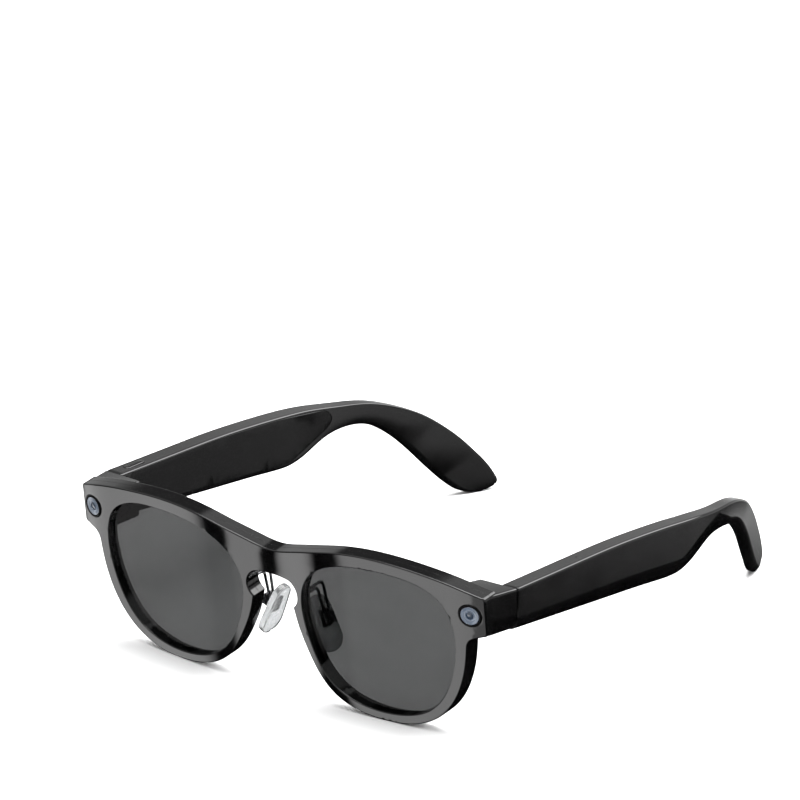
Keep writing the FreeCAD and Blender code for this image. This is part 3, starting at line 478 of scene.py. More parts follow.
def silicone():
    """Clear soft silicone with a slightly frosted skin."""
    paint = Paint("clear_silicone")
    haze = paint.noise(420, 4)
    paint.tint(haze, (0.3, (0.36, 0.37, 0.375)), (0.75, (0.425, 0.43, 0.435)))
    paint.feed("Roughness", paint.ramp(haze, 0.10, 0.2, 0.3, 0.75))
    paint.relief(paint.noise(900, 3), 0.00002, 0.25)
    paint.set(IOR=1.41, Transmission_Weight=0.9)
    return paint.material


def metal(name, dark, light, smooth, dull, stretch):
    """Brushed or turned metal, its grain drawn out along one way."""
    paint = Paint(name)
    grain = paint.noise(GRAIN_SCALE, 4, paint.stretched(stretch))
    paint.tint(grain, (0.3, dark), (0.75, light))
    paint.feed("Roughness", paint.ramp(grain, smooth, dull, 0.3, 0.75))
    paint.relief(grain, 0.00001, 0.5)
    paint.set(Metallic=1.0)
    return paint.material


def clear_window():
    """Coated camera window glass with a cool tint."""
    paint = Paint("camera_window_glass")
    dust = paint.noise(2600, 3)
    paint.tint(dust, (0.4, (0.10, 0.13, 0.18)), (0.8, (0.15, 0.19, 0.25)))
    paint.feed("Roughness", paint.ramp(dust, 0.02, 0.06, 0.5, 0.8))
    paint.set(IOR=1.6, Transmission_Weight=0.3)
    return paint.material


def circuit_green():
    """Solder mask over copper runs."""
    paint = Paint("circuit_mask")
    runs = paint.node("ShaderNodeTexBrick")
    runs.inputs["Scale"].default_value = 420
    runs.inputs["Mortar Size"].default_value = 0.06
    runs.inputs["Color1"].default_value = (0.01, 0.09, 0.035, 1)
    runs.inputs["Color2"].default_value = (0.014, 0.12, 0.045, 1)
    runs.inputs["Mortar"].default_value = (0.05, 0.2, 0.06, 1)
    paint.link(paint.place, runs.inputs["Vector"])
    paint.feed("Base Color", runs.outputs["Color"])
    paint.feed("Roughness", paint.ramp(paint.noise(800), 0.25, 0.45))
    paint.relief(runs.outputs["Fac"], 0.00003, 0.6)
    return paint.material


def amber_film():
    """Polyimide flex cable with fine conductor lines."""
    paint = Paint("flex_film")
    lines = paint.node("ShaderNodeTexWave", wave_type="BANDS", bands_direction="Z")
    lines.inputs["Scale"].default_value = 900
    lines.inputs["Distortion"].default_value = 0.4
    paint.link(paint.place, lines.inputs["Vector"])
    paint.tint(lines.outputs["Fac"], (0.3, (0.42, 0.13, 0.01)), (0.7, (0.62, 0.27, 0.05)))
    paint.feed("Roughness", paint.ramp(paint.noise(700), 0.25, 0.45))
    return paint.material


def crinkled_foil():
    """Laminated foil pouch of a battery cell."""
    paint = Paint("battery_pouch")
    crinkle = paint.noise(500, 6)
    paint.tint(crinkle, (0.3, (0.55, 0.56, 0.58)), (0.8, (0.75, 0.76, 0.78)))
    paint.feed("Roughness", paint.ramp(crinkle, 0.25, 0.5))
    paint.relief(crinkle, 0.0001, 0.6)
    paint.set(Metallic=1.0)
    return paint.material


DEEP_BLACK, PALER_BLACK = (0.0012, 0.0012, 0.0013), (0.0026, 0.0026, 0.0027)
PLASTIC = plastic("front_black_plastic", DEEP_BLACK, PALER_BLACK, 0.05, 0.09)
TEMPLE_PLASTIC = plastic("temple_black_plastic", DEEP_BLACK, PALER_BLACK, 0.06, 0.1)
COVER_PLASTIC = plastic("cover_black_plastic", (0.0014, 0.0014, 0.0015), (0.003, 0.003, 0.0031), 0.12, 0.2,
                        specular=0.2)
LENS_GREY = tinted_glass()
SILICONE = silicone()
DARK_STEEL = metal("dark_plated_wire", (0.10, 0.10, 0.105), (0.2, 0.2, 0.21), 0.18, 0.34, (1, 1, 0.15))
HINGE_STEEL = metal("hinge_steel", (0.3, 0.3, 0.31), (0.5, 0.5, 0.52), 0.22, 0.4, (1, 1, 0.1))
RING_BLACK = plastic("camera_ring_black", (0.0012, 0.0012, 0.0014), (0.003, 0.003, 0.0032), 0.12, 0.2,
                    specular=0.12)
BARREL_BLUE = metal("camera_barrel_blue", (0.2, 0.25, 0.33), (0.32, 0.39, 0.49), 0.16, 0.3, (1, 0.2, 1))
ELEMENT_BLACK = plastic("camera_element_black", (0.012, 0.018, 0.03), (0.03, 0.042, 0.062), 0.03, 0.06,
                        specular=0.9)
INSERT_BLACK = metal("pad_insert_dark", (0.02, 0.02, 0.022), (0.05, 0.05, 0.055), 0.18, 0.3, (1, 0.2, 1))
WINDOW_GLASS = clear_window()
CIRCUIT = circuit_green()
FLEX = amber_film()
FOIL = crinkled_foil()
SPEAKER_GREY = metal("speaker_can", (0.2, 0.2, 0.21), (0.36, 0.36, 0.37), 0.3, 0.5, (1, 1, 1))
GOLD = metal("gold_contact", (0.75, 0.5, 0.2), (0.95, 0.7, 0.32), 0.15, 0.32, (1, 1, 1))

SLOT_MATERIALS = {
    "frame_plastic": PLASTIC, "temple_plastic": TEMPLE_PLASTIC, "tinted_lens": LENS_GREY,
    "camera_ring": RING_BLACK, "camera_glass": WINDOW_GLASS, "camera_barrel": BARREL_BLUE,
    "circuit": CIRCUIT, "flex_cable": FLEX, "steel": HINGE_STEEL, "silicone": SILICONE,
    "battery_foil": FOIL, "speaker": SPEAKER_GREY, "gold_contact": GOLD,
}


def repaint(node, material):
    """A CAD node in another material."""
    materials = frame["nodes"][node].data.materials
    materials.clear()
    materials.append(material)


for subpart in frame["record"]["subparts"]:
    repaint(subpart["node"], SLOT_MATERIALS[subpart["material_slot"]])

# ------ the front

# points across and up from the middle of the front, on the wearer's left
BROW = [(0, 17.1), (8, 18.7), (16, 20.9), (24, 22.7), (34, 23.6), (46, 23.1), (58, 21.8), (67, 20.2),
        (72.9, 18.4)]
RIM = [(67.6, 1.4), (66.9, -3.5), (65.2, -10.0), (62.2, -16.5), (57.6, -22.2), (51.5, -26.2), (44.0, -28.2),
       (36.0, -28.3), (28.5, -27.1), (21.5, -24.2), (15.6, -18.6), (11.6, -11.8), (8.7, -5.0), (7.3, 0.4)]
LENS = [(63.4, -2.0), (63.5, 6.0), (60.4, 13.6), (53.5, 17.9), (44.0, 19.5), (33.0, 19.6), (23.5, 18.0),
        (15.4, 13.2), (11.4, 6.0), (11.4, -2.0), (13.7, -10.0), (17.7, -17.4), (24.1, -22.6), (31.7, -25.1),
        (39.2, -25.7), (46.5, -24.7), (53.3, -21.6), (58.4, -16.1), (61.6, -9.4)]
# across and back
PLAN = [(0, 0.0), (8, -0.55), (17, -1.35), (32, -0.75), (47, 0.8), (61, 2.0), (68, 2.8), (75, 4.7)]
HALF_WIDTH = 74.0
CORNER = [(72.9, 18.4), (73.8, 18.0), (HALF_WIDTH, 17.2)]
LOWER_CORNER = [(HALF_WIDTH, 6.9), (73.7, 6.2), (72.9, 5.9)]
END_STEP = [(69.9, 4.9), (68.3, 3.6)]
NOTCH_SIDE, NOTCH_TOP, BRIDGE_UNDER = (9.1, 5.0), (6.3, 8.6), (0, 9.1)
FRONT_DEPTH, SEAM, TOTAL_DEPTH = 2.8, 0.06, 5.6
LENS_NEAR, LENS_FAR, LENS_BITE = 1.5, 3.3, 1.2  # the lens reaches this far into its groove
SEAM_ROUND, REAR_ROUND = 0.04, 0.35
REAR_OPENING = 0.9  # the opening behind the lens is this much wider all round
CAMERA_X, CAMERA_DEPTH, CAMERA_RISE, CAMERA_TURN = 69.3, 3.0, 12.4, 14.0
BEZEL_RADIUS, BEZEL_ROOM, WINDOW_RADIUS, BARREL_RADIUS = 3.5, 0.06, 2.75, 2.5
BROW_ROUND, RIM_ROUND, CAMERA_ROUND = 0.4, 0.3, 0.06


def mirrored_points(points):
    """Left-hand points moved across to the right."""
    return [(-x, y) for x, y in points]


def front_outline():
    """The front's closed outline, from the brow round the rims and the bridge."""
    brow = spline(mirrored_points(BROW[:0:-1]) + BROW)
    half = (arc(*CORNER) + arc(*LOWER_CORNER) + arc(*END_STEP, RIM[0]) + spline(RIM)
            + arc(RIM[-1], NOTCH_SIDE, NOTCH_TOP, 12))
    under = arc(NOTCH_TOP, BRIDGE_UNDER, (-NOTCH_TOP[0], NOTCH_TOP[1]), 16)
    return without_repeats(brow + half + under + mirrored_points(half[::-1]))


PLAN_LINE = np.array(spline(mirrored_points(PLAN[:0:-1]) + PLAN, spacing=0.5))


def bent(shape):
    """A flat front shape given the front's curve in plan."""
    vertices, faces = shape
    across, back = PLAN_LINE[:, 0], PLAN_LINE[:, 1]
    return [(x, y + float(np.interp(x, across, back)), z) for x, y, z in vertices], faces


OUTLINE = front_outline()
LENS_HOLE = spline(LENS, closed=True)
LENS_HOLES = [LENS_HOLE, mirrored_points(LENS_HOLE)]


def camera_holes(radius):
    """The two holes, wider across because the cameras are turned outwards."""
    turned = radius / math.cos(math.radians(CAMERA_TURN))
    return [ring(turned, radius, (side * CAMERA_X, CAMERA_RISE)) for side in SIDES.values()]


def make_front_shell():
    loops = [OUTLINE] + LENS_HOLES + camera_holes(BEZEL_RADIUS + BEZEL_ROOM)
    near_rounds = [BROW_ROUND] + [RIM_ROUND] * 2 + [CAMERA_ROUND] * 2
    shape = bent(rounded_plate(loops, 0, FRONT_DEPTH - SEAM / 2, near_rounds, SEAM_ROUND, steps=6))
    make_piece("front_shell_moulded", shape, FRONT, "front", "frame_plastic", PLASTIC, "front_shell")


# ------ temples

# where the top edge and the bottom edge are, back and up, from the hinge to the tip
STATIONS = [(15.4, 46.6, 15.4, 33.2), (28, 46.2, 28, 31.9), (45, 45.7, 45, 30.2), (62, 45.1, 62, 28.5),
            (78, 44.0, 78, 26.9), (90, 42.9, 88.5, 25.7), (98, 42.0, 95.5, 25.3), (105, 41.1, 101.5, 26.2),
            (112, 40.0, 107, 28.2), (119, 38.9, 113, 30.3), (126, 37.9, 119.5, 31.2), (133, 36.3, 126, 30.8),
            (140.4, 33.6, 132.2, 28.6), (147.8, 29.9, 138.4, 24.4), (154.6, 25.0, 144.0, 19.0),
            (160.6, 19.6, 149.0, 13.3), (165.8, 13.9, 154.0, 7.7), (170.0, 8.7, 158.4, 3.4),
            (172.3, 4.9, 162.2, 0.9), (173.0, 3.0, 165.4, 0.1), (172.2, 1.5, 168.6, 0.1)]
TEMPLE_OUTSIDE, TEMPLE_THICK, TIP_THICK, THIN_END = 75.9, 5.8, 3.4, 154.0
BEND_START, BEND_END, BEND_SLOPE = 94.0, 146.0, 0.45
TOP_FALL, FULL_FALL_HEIGHT = 0.2, 9.0  # how much lower the inner top edge is, on sections at least this tall
BELLY, HOOK_BELLY = 3.2, 1.0  # the rounding of the outer bottom edge
SWEEP_START, EASE_START, EASE_END = 98, 119, 133  # where it spreads up the side and turns into the hook's
BELLY_RISE, SWEEP_RISE = 0.31, 0.55
EDGE_ROUND, CORNER_PULL = 0.6, 0.55

COVER_DEPTH, COVER_GAP, COVER_CORNER, COVER_ROUND, CUT_ROUND = 1.4, 0.09, 2.2, 0.25, 0.05
COVER = [(19.4, 45.9), (60.0, 44.7), (88.0, 42.4), (112.0, 39.2), (115.0, 36.0), (113.0, 33.2), (104.0, 29.4),
         (96.0, 26.6), (86.0, 27.2), (60.0, 30.0), (19.4, 34.0)]

# the lowest and highest corners of the room for the hinge and for its leaf's plate
ROOM_BOTTOM, ROOM_TOP, LEAF_BOTTOM, LEAF_RISE = 25, 45.25, 37.34, 4.62
HINGE_ROOM = (63.5, 15.0, ROOM_BOTTOM), (71.7, 17.9, ROOM_TOP)
LEAF_ROOM = (69.25, 15.0, LEAF_BOTTOM), (73.1, 17.31, LEAF_BOTTOM + LEAF_RISE)
SPEAKER_SLOTS, SLOT_LENGTH = (62.0, 64.4, 66.8, 69.2, 71.6), 0.9
SLOT_SIDES, SLOT_HEIGHTS = (71.3, 73.7), (24.5, 30.3)
PINHOLE_PLACE, PINHOLE_RADIUS, PINHOLE_DEPTH = (72.9, 47, 44.8), 0.3, 3
CONTACT_ROWS, CONTACT_HEIGHT, CONTACT_HOLE = (32.0, 35.0, 38.0, 41.0), 39.5, 0.85
RECESS_DEPTH, RECESS_LENGTH, RECESS_RISE = 0.3, 13.8, 4.6
BUTTON_Y, BUTTON_LENGTH, BUTTON_WIDTH = 24.5, 8.4, 2.2
BUTTON_TOP, BUTTON_HEIGHT, BUTTON_ROUND = 46.5, 1.6, 0.35
BUTTON_ROOM, BUTTON_SLOT_FLOOR, BUTTON_SLOT_TOP = 0.12, 43.6, 47.6


def share_between(value, start, stop):
    return min(1.0, max(0.0, (value - start) / (stop - start)))


def temple_outside(y):
    """How far out the temple's outer face is."""
    in_bend = min(max(0.0, y - BEND_START), BEND_END - BEND_START)
    past = max(0.0, y - BEND_END)
    return TEMPLE_OUTSIDE - BEND_SLOPE * in_bend ** 2 / (2 * (BEND_END - BEND_START)) - BEND_SLOPE * past


def temple_depth(y):
    """How thick the temple is."""
    return TEMPLE_THICK + share_between(y, BEND_START, THIN_END) * (TIP_THICK - TEMPLE_THICK)


def rounded_section(corners, belly, rise=0.4, corner_steps=6, side_steps=9):
    """A closed section with eased corners; the last corner is the full belly round."""
    height = (corners[3] - corners[0]).length
    thick = (corners[2] - corners[3]).length
    small = min(EDGE_ROUND, 0.28 * thick, 0.3 * height)
    below = 1.6 * small
    reaches = [(small, small), (small, small), (below, below),
               (min(belly, 0.55 * thick), min(max(1.3 * belly, rise * height), 0.95 * height - small))]
    ends = []
    for i, corner in enumerate(corners):
        before = (corners[i - 1] - corner).normalized()
        after = (corners[(i + 1) % 4] - corner).normalized()
        ends.append((corner + before * reaches[i][0], corner, corner + after * reaches[i][1]))
    points = []
    for i, (start, corner, stop) in enumerate(ends):
        poles = [start, start.lerp(corner, CORNER_PULL), stop.lerp(corner, CORNER_PULL), stop]
        for k in range(corner_steps):
            s = k / corner_steps
            points.append(poles[0] * (1 - s) ** 3 + poles[1] * 3 * s * (1 - s) ** 2
                          + poles[2] * 3 * s ** 2 * (1 - s) + poles[3] * s ** 3)
        following = ends[(i + 1) % 4][0]
        shares = [(1 - math.cos(math.pi * k / side_steps)) / 2 for k in range(side_steps)]
        points += [stop.lerp(following, share) for share in shares]
    return points


def temple_section(station):
    """The temple's section at a station, leaning with its two edges."""
    top_y, top_z, bottom_y, bottom_z = station
    outer_top = Vector((temple_outside(top_y), top_y, top_z))
    outer_bottom = Vector((temple_outside(bottom_y), bottom_y, bottom_z))
    fall = outer_bottom - outer_top
    fall.x = 0
    lower = fall.normalized() * (TOP_FALL * min(1.0, fall.length / FULL_FALL_HEIGHT))
    inner_top = outer_top + Vector((-temple_depth(top_y), 0, 0)) + lower
    inner_bottom = outer_bottom + Vector((-temple_depth(bottom_y), 0, 0))
    sweep = share_between(top_y, SWEEP_START, EASE_START)
    ease = share_between(top_y, EASE_START, EASE_END)
    belly = BELLY + (HOOK_BELLY - BELLY) * ease
    return rounded_section([outer_top, inner_top, inner_bottom, outer_bottom], belly,
                           BELLY_RISE + SWEEP_RISE * sweep * (1 - ease))


def capped_loft(sections, near_round, far_round, steps=4):
    """Sections skinned in order, each end closed by a small round and a flat cap."""
    def eased(section, beyond, radius):
        """The rings of one end's round, from the section outwards."""
        middle = sum(section, Vector()) / len(section)
        along = (middle - sum(beyond, Vector()) / len(beyond)).normalized()
        rings = []
        for k in range(steps + 1):
            a = math.pi / 2 * k / steps
            shrink, reach = radius * (1 - math.cos(a)), radius * math.sin(a)
            ring_points = []
            for p in section:
                arm = p - middle
                pull = min(shrink, arm.length * 0.8)
                ring_points.append(p - arm.normalized() * pull + along * (reach - radius))
            rings.append(ring_points)
        return rings

    first = eased(sections[0], sections[1], near_round)[::-1]
    last = eased(sections[-1], sections[-2], far_round)
    rows = first + sections[1:-1] + last
    count = len(rows[0])
    vertices = [tuple(p) for row in rows for p in row]
    faces = []
    for row in range(len(rows) - 1):
        start = row * count
        faces += [(start + i, start + (i + 1) % count, start + count + (i + 1) % count, start + count + i)
                  for i in range(count)]
    for start in (0, (len(rows) - 1) * count):
        middle = len(vertices)
        hub = sum((Vector(vertices[start + i]) for i in range(count)), Vector()) / count
        vertices.append(tuple(hub))
        faces += [(start + i, start + (i + 1) % count, middle) for i in range(count)]
    return vertices, faces


def rounded_polygon(points, radius, steps=5):
    """A polygon whose corners are eased by an arc-like curve."""
    result = []
    for i, corner in enumerate(points):
        here = Vector(corner)
        before, after = Vector(points[i - 1]) - here, Vector(points[(i + 1) % len(points)]) - here
        start = here + before.normalized() * min(radius, before.length * 0.45)
        stop = here + after.normalized() * min(radius, after.length * 0.45)
        for k in range(steps + 1):
            s = k / steps
            result.append(tuple(start * (1 - s) ** 2 + here * 2 * s * (1 - s) + stop * s ** 2))
    return without_repeats(result)


def inner_face_shape(outline, near, far, near_round, far_round):
    """A plate in a side outline (back, up) whose depth runs outwards from the temple's inner face."""
    vertices, faces = rounded_plate([outline], near, far, near_round, far_round, spacing=3.0, steps=3)
    placed = [(temple_outside(y) - temple_depth(y) + depth, y, z) for y, depth, z in vertices]
    return placed, faces


def contact_shape(y):
    """The hole for a charging contact, along X at the left temple's inner face."""
    face = TEMPLE_OUTSIDE - TEMPLE_THICK
    vertices, faces = lathe([(0, -1), (CONTACT_HOLE, -1), (CONTACT_HOLE, 2), (0, 2)], 32)
    return [(face + depth, y + u, CONTACT_HEIGHT + v) for u, depth, v in vertices], faces


def charging_recess():
    """The shallow flat recess round the charging contacts."""
    face, middle = TEMPLE_OUTSIDE - TEMPLE_THICK, (CONTACT_ROWS[0] + CONTACT_ROWS[-1]) / 2
    return box_mesh((face - 1, middle - RECESS_LENGTH / 2, CONTACT_HEIGHT - RECESS_RISE / 2),
                    (face + RECESS_DEPTH, middle + RECESS_LENGTH / 2, CONTACT_HEIGHT + RECESS_RISE / 2))


def pinhole():
    """The microphone's hole in the top of the left temple."""
    outline = [(0, 0), (PINHOLE_RADIUS, 0), (PINHOLE_RADIUS, PINHOLE_DEPTH), (0, PINHOLE_DEPTH)]
    vertices, faces = lathe(outline, 24)
    x, y, floor = PINHOLE_PLACE
    return [(x + u, y + v, floor + depth) for u, depth, v in vertices], faces


def stadium(length, width, steps=14):
    """A pill outline along its second axis."""
    straight = (length - width) / 2
    top = [(width / 2 * math.cos(math.pi * k / steps), straight + width / 2 * math.sin(math.pi * k / steps))
           for k in range(steps + 1)]
    return top + [(-u, -v) for u, v in top]


def button_shape(room, low, high, edge):
    """The pill at the middle of the temple's top (left-hand coordinates)."""
    outline = stadium(BUTTON_LENGTH + 2 * room, BUTTON_WIDTH + 2 * room)
    vertices, faces = rounded_plate([outline], -high, -low, edge, CUT_ROUND, spacing=1.0, steps=3)
    middle = TEMPLE_OUTSIDE - TEMPLE_THICK / 2
    return [(middle + u, BUTTON_Y + v, -depth) for u, depth, v in vertices], faces


def make_temple_part(kind, name, side, shape, cuts, material):
    """One moulding of a temple, less some cuts; all of them are given for the left."""
    mesh = combined(flipped(shape, side), cut=[flipped(cut, side) for cut in cuts])
    wrap_piece(f"temple_{kind}_moulded_{name}", mesh, STRAIGHT, f"temple_{name}", "temple_plastic", material,
               f"temple_{kind}_{name}")


def make_temple_shell(name, side):
    sections = [temple_section(row) for row in spline(STATIONS, spacing=2.0)]
    loft = capped_loft(sections, near_round=0.4, far_round=0.5)
    pocket = inner_face_shape(rounded_polygon(COVER, COVER_CORNER), -3, COVER_DEPTH, CUT_ROUND, CUT_ROUND)
    cuts = [pocket, box_mesh(*HINGE_ROOM), box_mesh(*LEAF_ROOM)]
    if side < 0:
        cuts.append(button_shape(BUTTON_ROOM, BUTTON_SLOT_FLOOR, BUTTON_SLOT_TOP, CUT_ROUND))
    else:
        cuts.append(pinhole())
    cuts += [box_mesh((SLOT_SIDES[0], y, SLOT_HEIGHTS[0]), (SLOT_SIDES[1], y + SLOT_LENGTH, SLOT_HEIGHTS[1]))
             for y in SPEAKER_SLOTS]
    make_temple_part("shell", name, side, loft, cuts, TEMPLE_PLASTIC)


def make_temple_cover(name, side):
    outline = grown(rounded_polygon(COVER, COVER_CORNER), -COVER_GAP)
    panel = inner_face_shape(outline, 0.02, COVER_DEPTH - 0.05, COVER_ROUND, CUT_ROUND)
    cuts = [box_mesh(*LEAF_ROOM), box_mesh(*HINGE_ROOM)]
    if side > 0:
        cuts += [charging_recess()] + [contact_shape(y) for y in CONTACT_ROWS]
    make_temple_part("cover", name, side, panel, cuts, COVER_PLASTIC)


def make_button():
    """The button's cap, on the right temple."""
    shape = button_shape(0, BUTTON_TOP - BUTTON_HEIGHT, BUTTON_TOP, BUTTON_ROUND)
    make_piece("power_button_cap", flipped(shape, -1), STRAIGHT, "power_button", "temple_plastic",
               TEMPLE_PLASTIC, "power_button")


# ------ rear shell and end pieces

# back, outside, top, inner top, bottom, inner bottom and belly at the two ends of the end piece
END_FRONT = (0.5, 73.2, 46.9, 48.6, 34.3, 35.4, 1.0)
END_REAR = (15.1, 75.9, 46.6, 46.3, 33.2, 35.2, 3.2)
END_STATIONS = (2.2, 5.0, 8.5, 12.0, 14.85)  # the last leaves the seam before the temple
END_INSIDE = 62.6
END_ROOM = (63.6, 12.3, ROOM_BOTTOM), (71.6, 19, ROOM_TOP)


def end_piece():
    """The left end piece behind the front, level with the temple."""
    sections = []
    for y in END_STATIONS:
        share = (y - END_FRONT[0]) / (END_REAR[0] - END_FRONT[0])
        _, outside, top, inner_top, bottom, inner_bottom, belly = (
            a + (b - a) * share for a, b in zip(END_FRONT, END_REAR))
        corners = [Vector((outside, y, top)), Vector((END_INSIDE, y, inner_top)),
                   Vector((END_INSIDE, y, inner_bottom)), Vector((outside, y, bottom))]
        sections.append(rounded_section(corners, belly))
    return capped_loft(sections, near_round=0.1, far_round=0.2)


def behind_seam(shape):
    """A shape in the front's place without what lies ahead of the seam between the two shells."""
    reach, floor, top, ahead = 80, -5, 28, -9
    along = range(-reach, reach + 1)
    outline = [(x, floor) for x in along] + [(x, top) for x in along[::-1]]
    block = rounded_plate([outline], ahead, FRONT_DEPTH + SEAM / 2, 0.01, 0.01, spacing=1.5, steps=1)
    mesh = combined(shape, cut=[bent(block)])
    return [tuple(v.co) for v in mesh.vertices], [tuple(p.vertices) for p in mesh.polygons]


def from_straight(shape):
    """A straight shape in the leaning front's place."""
    to_front = FRONT.inverted() @ STRAIGHT
    vertices, faces = shape
    return [tuple(to_front @ Vector(v)) for v in vertices], faces


def make_rear_shell():
    wide = grown(LENS_HOLE, REAR_OPENING)
    plate = bent(rounded_plate([OUTLINE, wide, mirrored_points(wide)], FRONT_DEPTH + SEAM / 2, TOTAL_DEPTH,
                               SEAM_ROUND, REAR_ROUND))
    ends = [behind_seam(from_straight(flipped(end_piece(), side))) for side in SIDES.values()]
    rooms = [from_straight(flipped(box_mesh(*END_ROOM), side)) for side in SIDES.values()]
    wrap_piece("rear_shell_moulded", combined(plate, ends, rooms), FRONT, "front", "frame_plastic", PLASTIC,
               "rear_shell")


def make_lens(name, side):
    plate = rounded_plate([grown(LENS_HOLE, LENS_BITE)], LENS_NEAR, LENS_FAR, 0.1, 0.1, spacing=2.5, steps=2)
    make_piece(f"lens_polished_{name}", flipped(bent(plate), side), FRONT, "front", "tinted_lens", LENS_GREY,
               f"lens_{name}")


# ------ cameras


BEZEL_PROUD, BEZEL_GAP = 0.2, 0.12
BARREL_START, BARREL_END = 1.1, 4.0
PUPIL_RADIUS, PUPIL_EDGE, PUPIL_DOME = 1.16, 0.16, 0.2
TURNED_ANGLE, GROUND_ANGLE = 50, 25  # steps sharper than this, in degrees, keep their edges


def camera_place(side):
    """The camera's place: its axis along Y, turned outwards from the front."""
    return (FRONT @ Matrix.Translation((side * CAMERA_X, CAMERA_DEPTH, CAMERA_RISE))
            @ Matrix.Rotation(math.radians(side * CAMERA_TURN), 4, "Z"))


def make_turned(name, side, outline, slot, material, *nodes, angle=TURNED_ANGLE, count=96):
    """A piece turned about the camera's axis."""
    make_piece(name, lathe(outline, count), camera_place(side), "front", slot, material, *nodes, angle=angle)


def make_bezel(name, side):
    outer, inner, front = BEZEL_RADIUS, WINDOW_RADIUS + BEZEL_GAP, -BEZEL_PROUD
    outline = [(inner, 2.5), (inner, 0.25), (inner + 0.12, front + 0.2), (inner + 0.22, front + 0.06),
               (inner + 0.34, front), (outer - 0.22, front), (outer - 0.08, front + 0.06),
               (outer, front + 0.2), (outer, 2.5)]
    make_turned(f"camera_bezel_turned_{name}", side, outline, "camera_ring", RING_BLACK,
                f"camera_bezel_{name}")


def make_window(name, side):
    """The coated window, with the rings that are seen in it."""
    outline = [(0, 0.2), (1.18, 0.2), (1.24, 0.04), (1.46, 0.0), (1.52, 0.12), (1.84, 0.12), (1.9, 0.0),
               (2.28, -0.05), (2.34, 0.06), (2.58, 0.05), (2.64, -0.06), (WINDOW_RADIUS, -0.06),
               (WINDOW_RADIUS, 0.75), (0, 0.75)]
    make_turned(f"camera_window_ground_{name}", side, outline, "camera_glass", WINDOW_GLASS,
                f"camera_window_{name}", angle=GROUND_ANGLE)


def make_barrel(name, side):
    start = BARREL_START
    outline = [(0, start + 0.35), (0.3, start + 0.28), (0.55, start + 0.1), (0.62, start - 0.02),
               (0.9, start), (0.95, start + 0.22), (1.3, start + 0.22), (1.36, start + 0.02), (1.7, start),
               (1.76, start + 0.16), (2.02, start + 0.16), (2.08, start - 0.06), (2.32, start - 0.1),
               (BARREL_RADIUS, start + 0.05), (BARREL_RADIUS, BARREL_END), (0, BARREL_END)]
    make_turned(f"camera_lens_stepped_{name}", side, outline, "camera_barrel", BARREL_BLUE,
                f"camera_lens_{name}")


def make_pupil(name, side):
    """The domed front element in the middle of the camera's window."""
    steps = 10
    outline = [(PUPIL_RADIUS * k / steps, PUPIL_EDGE - PUPIL_DOME * math.cos(math.pi / 2 * k / steps))
               for k in range(steps + 1)]
    outline += [(PUPIL_RADIUS, 0.5), (0, 0.5)]
    make_turned(f"camera_pupil_{name}", side, outline, "camera_ring", ELEMENT_BLACK, count=64)


# ------ nose pads

PAD_CENTRE = Vector((9.0, 11.9, 20.8))
PAD_LEAN = math.radians(22.5)
PAD_SPLAY = {1: math.radians(16.0), -1: 0.0}
PAD_UPPER, PAD_LOWER, PAD_SPACING, PAD_THICK = 3.5, 4.4, 9.4, 2.2
PAD_ROUND, PAD_CROWN, CROWN_WIDTH, CROWN_HEIGHT = 0.5, 0.22, 4.2, 8.4


def pad_place(side):
    """The pad's frame: Y up its length, Z away from the nose."""
    up = Vector((-side * math.sin(PAD_LEAN), 0, math.cos(PAD_LEAN)))
    back = Vector((side * math.sin(PAD_SPLAY[side]), math.cos(PAD_SPLAY[side]), 0))
    back = (back - up * back.dot(up)).normalized()
    across = back * side
    away = across.cross(up)
    centre = Vector((side * PAD_CENTRE.x, PAD_CENTRE.y, PAD_CENTRE.z))
    turn = Matrix((across, up, away)).transposed().to_4x4()
    return STRAIGHT @ Matrix.Translation(centre) @ turn


def pad_outline(steps=18):
    """Two round ends, one side between them drawn in steps and the other in one run."""
    half = PAD_SPACING / 2
    lean = math.asin((PAD_LOWER - PAD_UPPER) / PAD_SPACING)
    points = []
    for radius, middle, start, stop in ((PAD_UPPER, half, lean, math.pi - lean),
                                        (PAD_LOWER, -half, math.pi - lean, 2 * math.pi + lean)):
        for k in range(steps + 1):
            a = start + (stop - start) * k / steps
            points.append((radius * math.cos(a), middle + radius * math.sin(a)))
        if middle > 0:
            here = points[-1]
            end = (PAD_LOWER * math.cos(math.pi - lean), -half + PAD_LOWER * math.sin(math.pi - lean))
            points += [(here[0] + (end[0] - here[0]) * k / 6, here[1] + (end[1] - here[1]) * k / 6)
                       for k in range(1, 6)]
    return without_repeats(points)


def make_nose_pad(name, side):
    """The soft pad, crowned on the face that meets the nose."""
    half = PAD_THICK / 2
    vertices, faces = rounded_plate([pad_outline()], -half, half, PAD_ROUND, PAD_ROUND, spacing=0.9, steps=5)
    domed = []
    for u, depth, v in vertices:
        reach = min(1.0, math.hypot(u / CROWN_WIDTH, v / CROWN_HEIGHT))
        crown = PAD_CROWN * (1 - reach ** 2)
        domed.append((u, v, depth - crown if depth < 0 else depth))
    make_piece(f"nose_pad_moulded_{name}", (domed, faces), pad_place(side), f"nose_pad_{name}", "silicone",
               SILICONE, f"nose_pad_{name}")


# ------ build

make_front_shell()
make_rear_shell()
make_button()
for side_name, side_sign in SIDES.items():
    for make in (make_lens, make_bezel, make_window, make_barrel, make_pupil, make_nose_pad,
                 make_temple_shell, make_temple_cover):
        make(side_name, side_sign)
    for part in ("nose_arm", "nose_pad_box", "nose_pad_screw"):
        repaint(f"{part}_{side_name}", DARK_STEEL)
    repaint(f"nose_pad_insert_{side_name}", INSERT_BLACK)

# ------ studio


FLOOR_REACH = 3.0  # metres, like everything in the studio


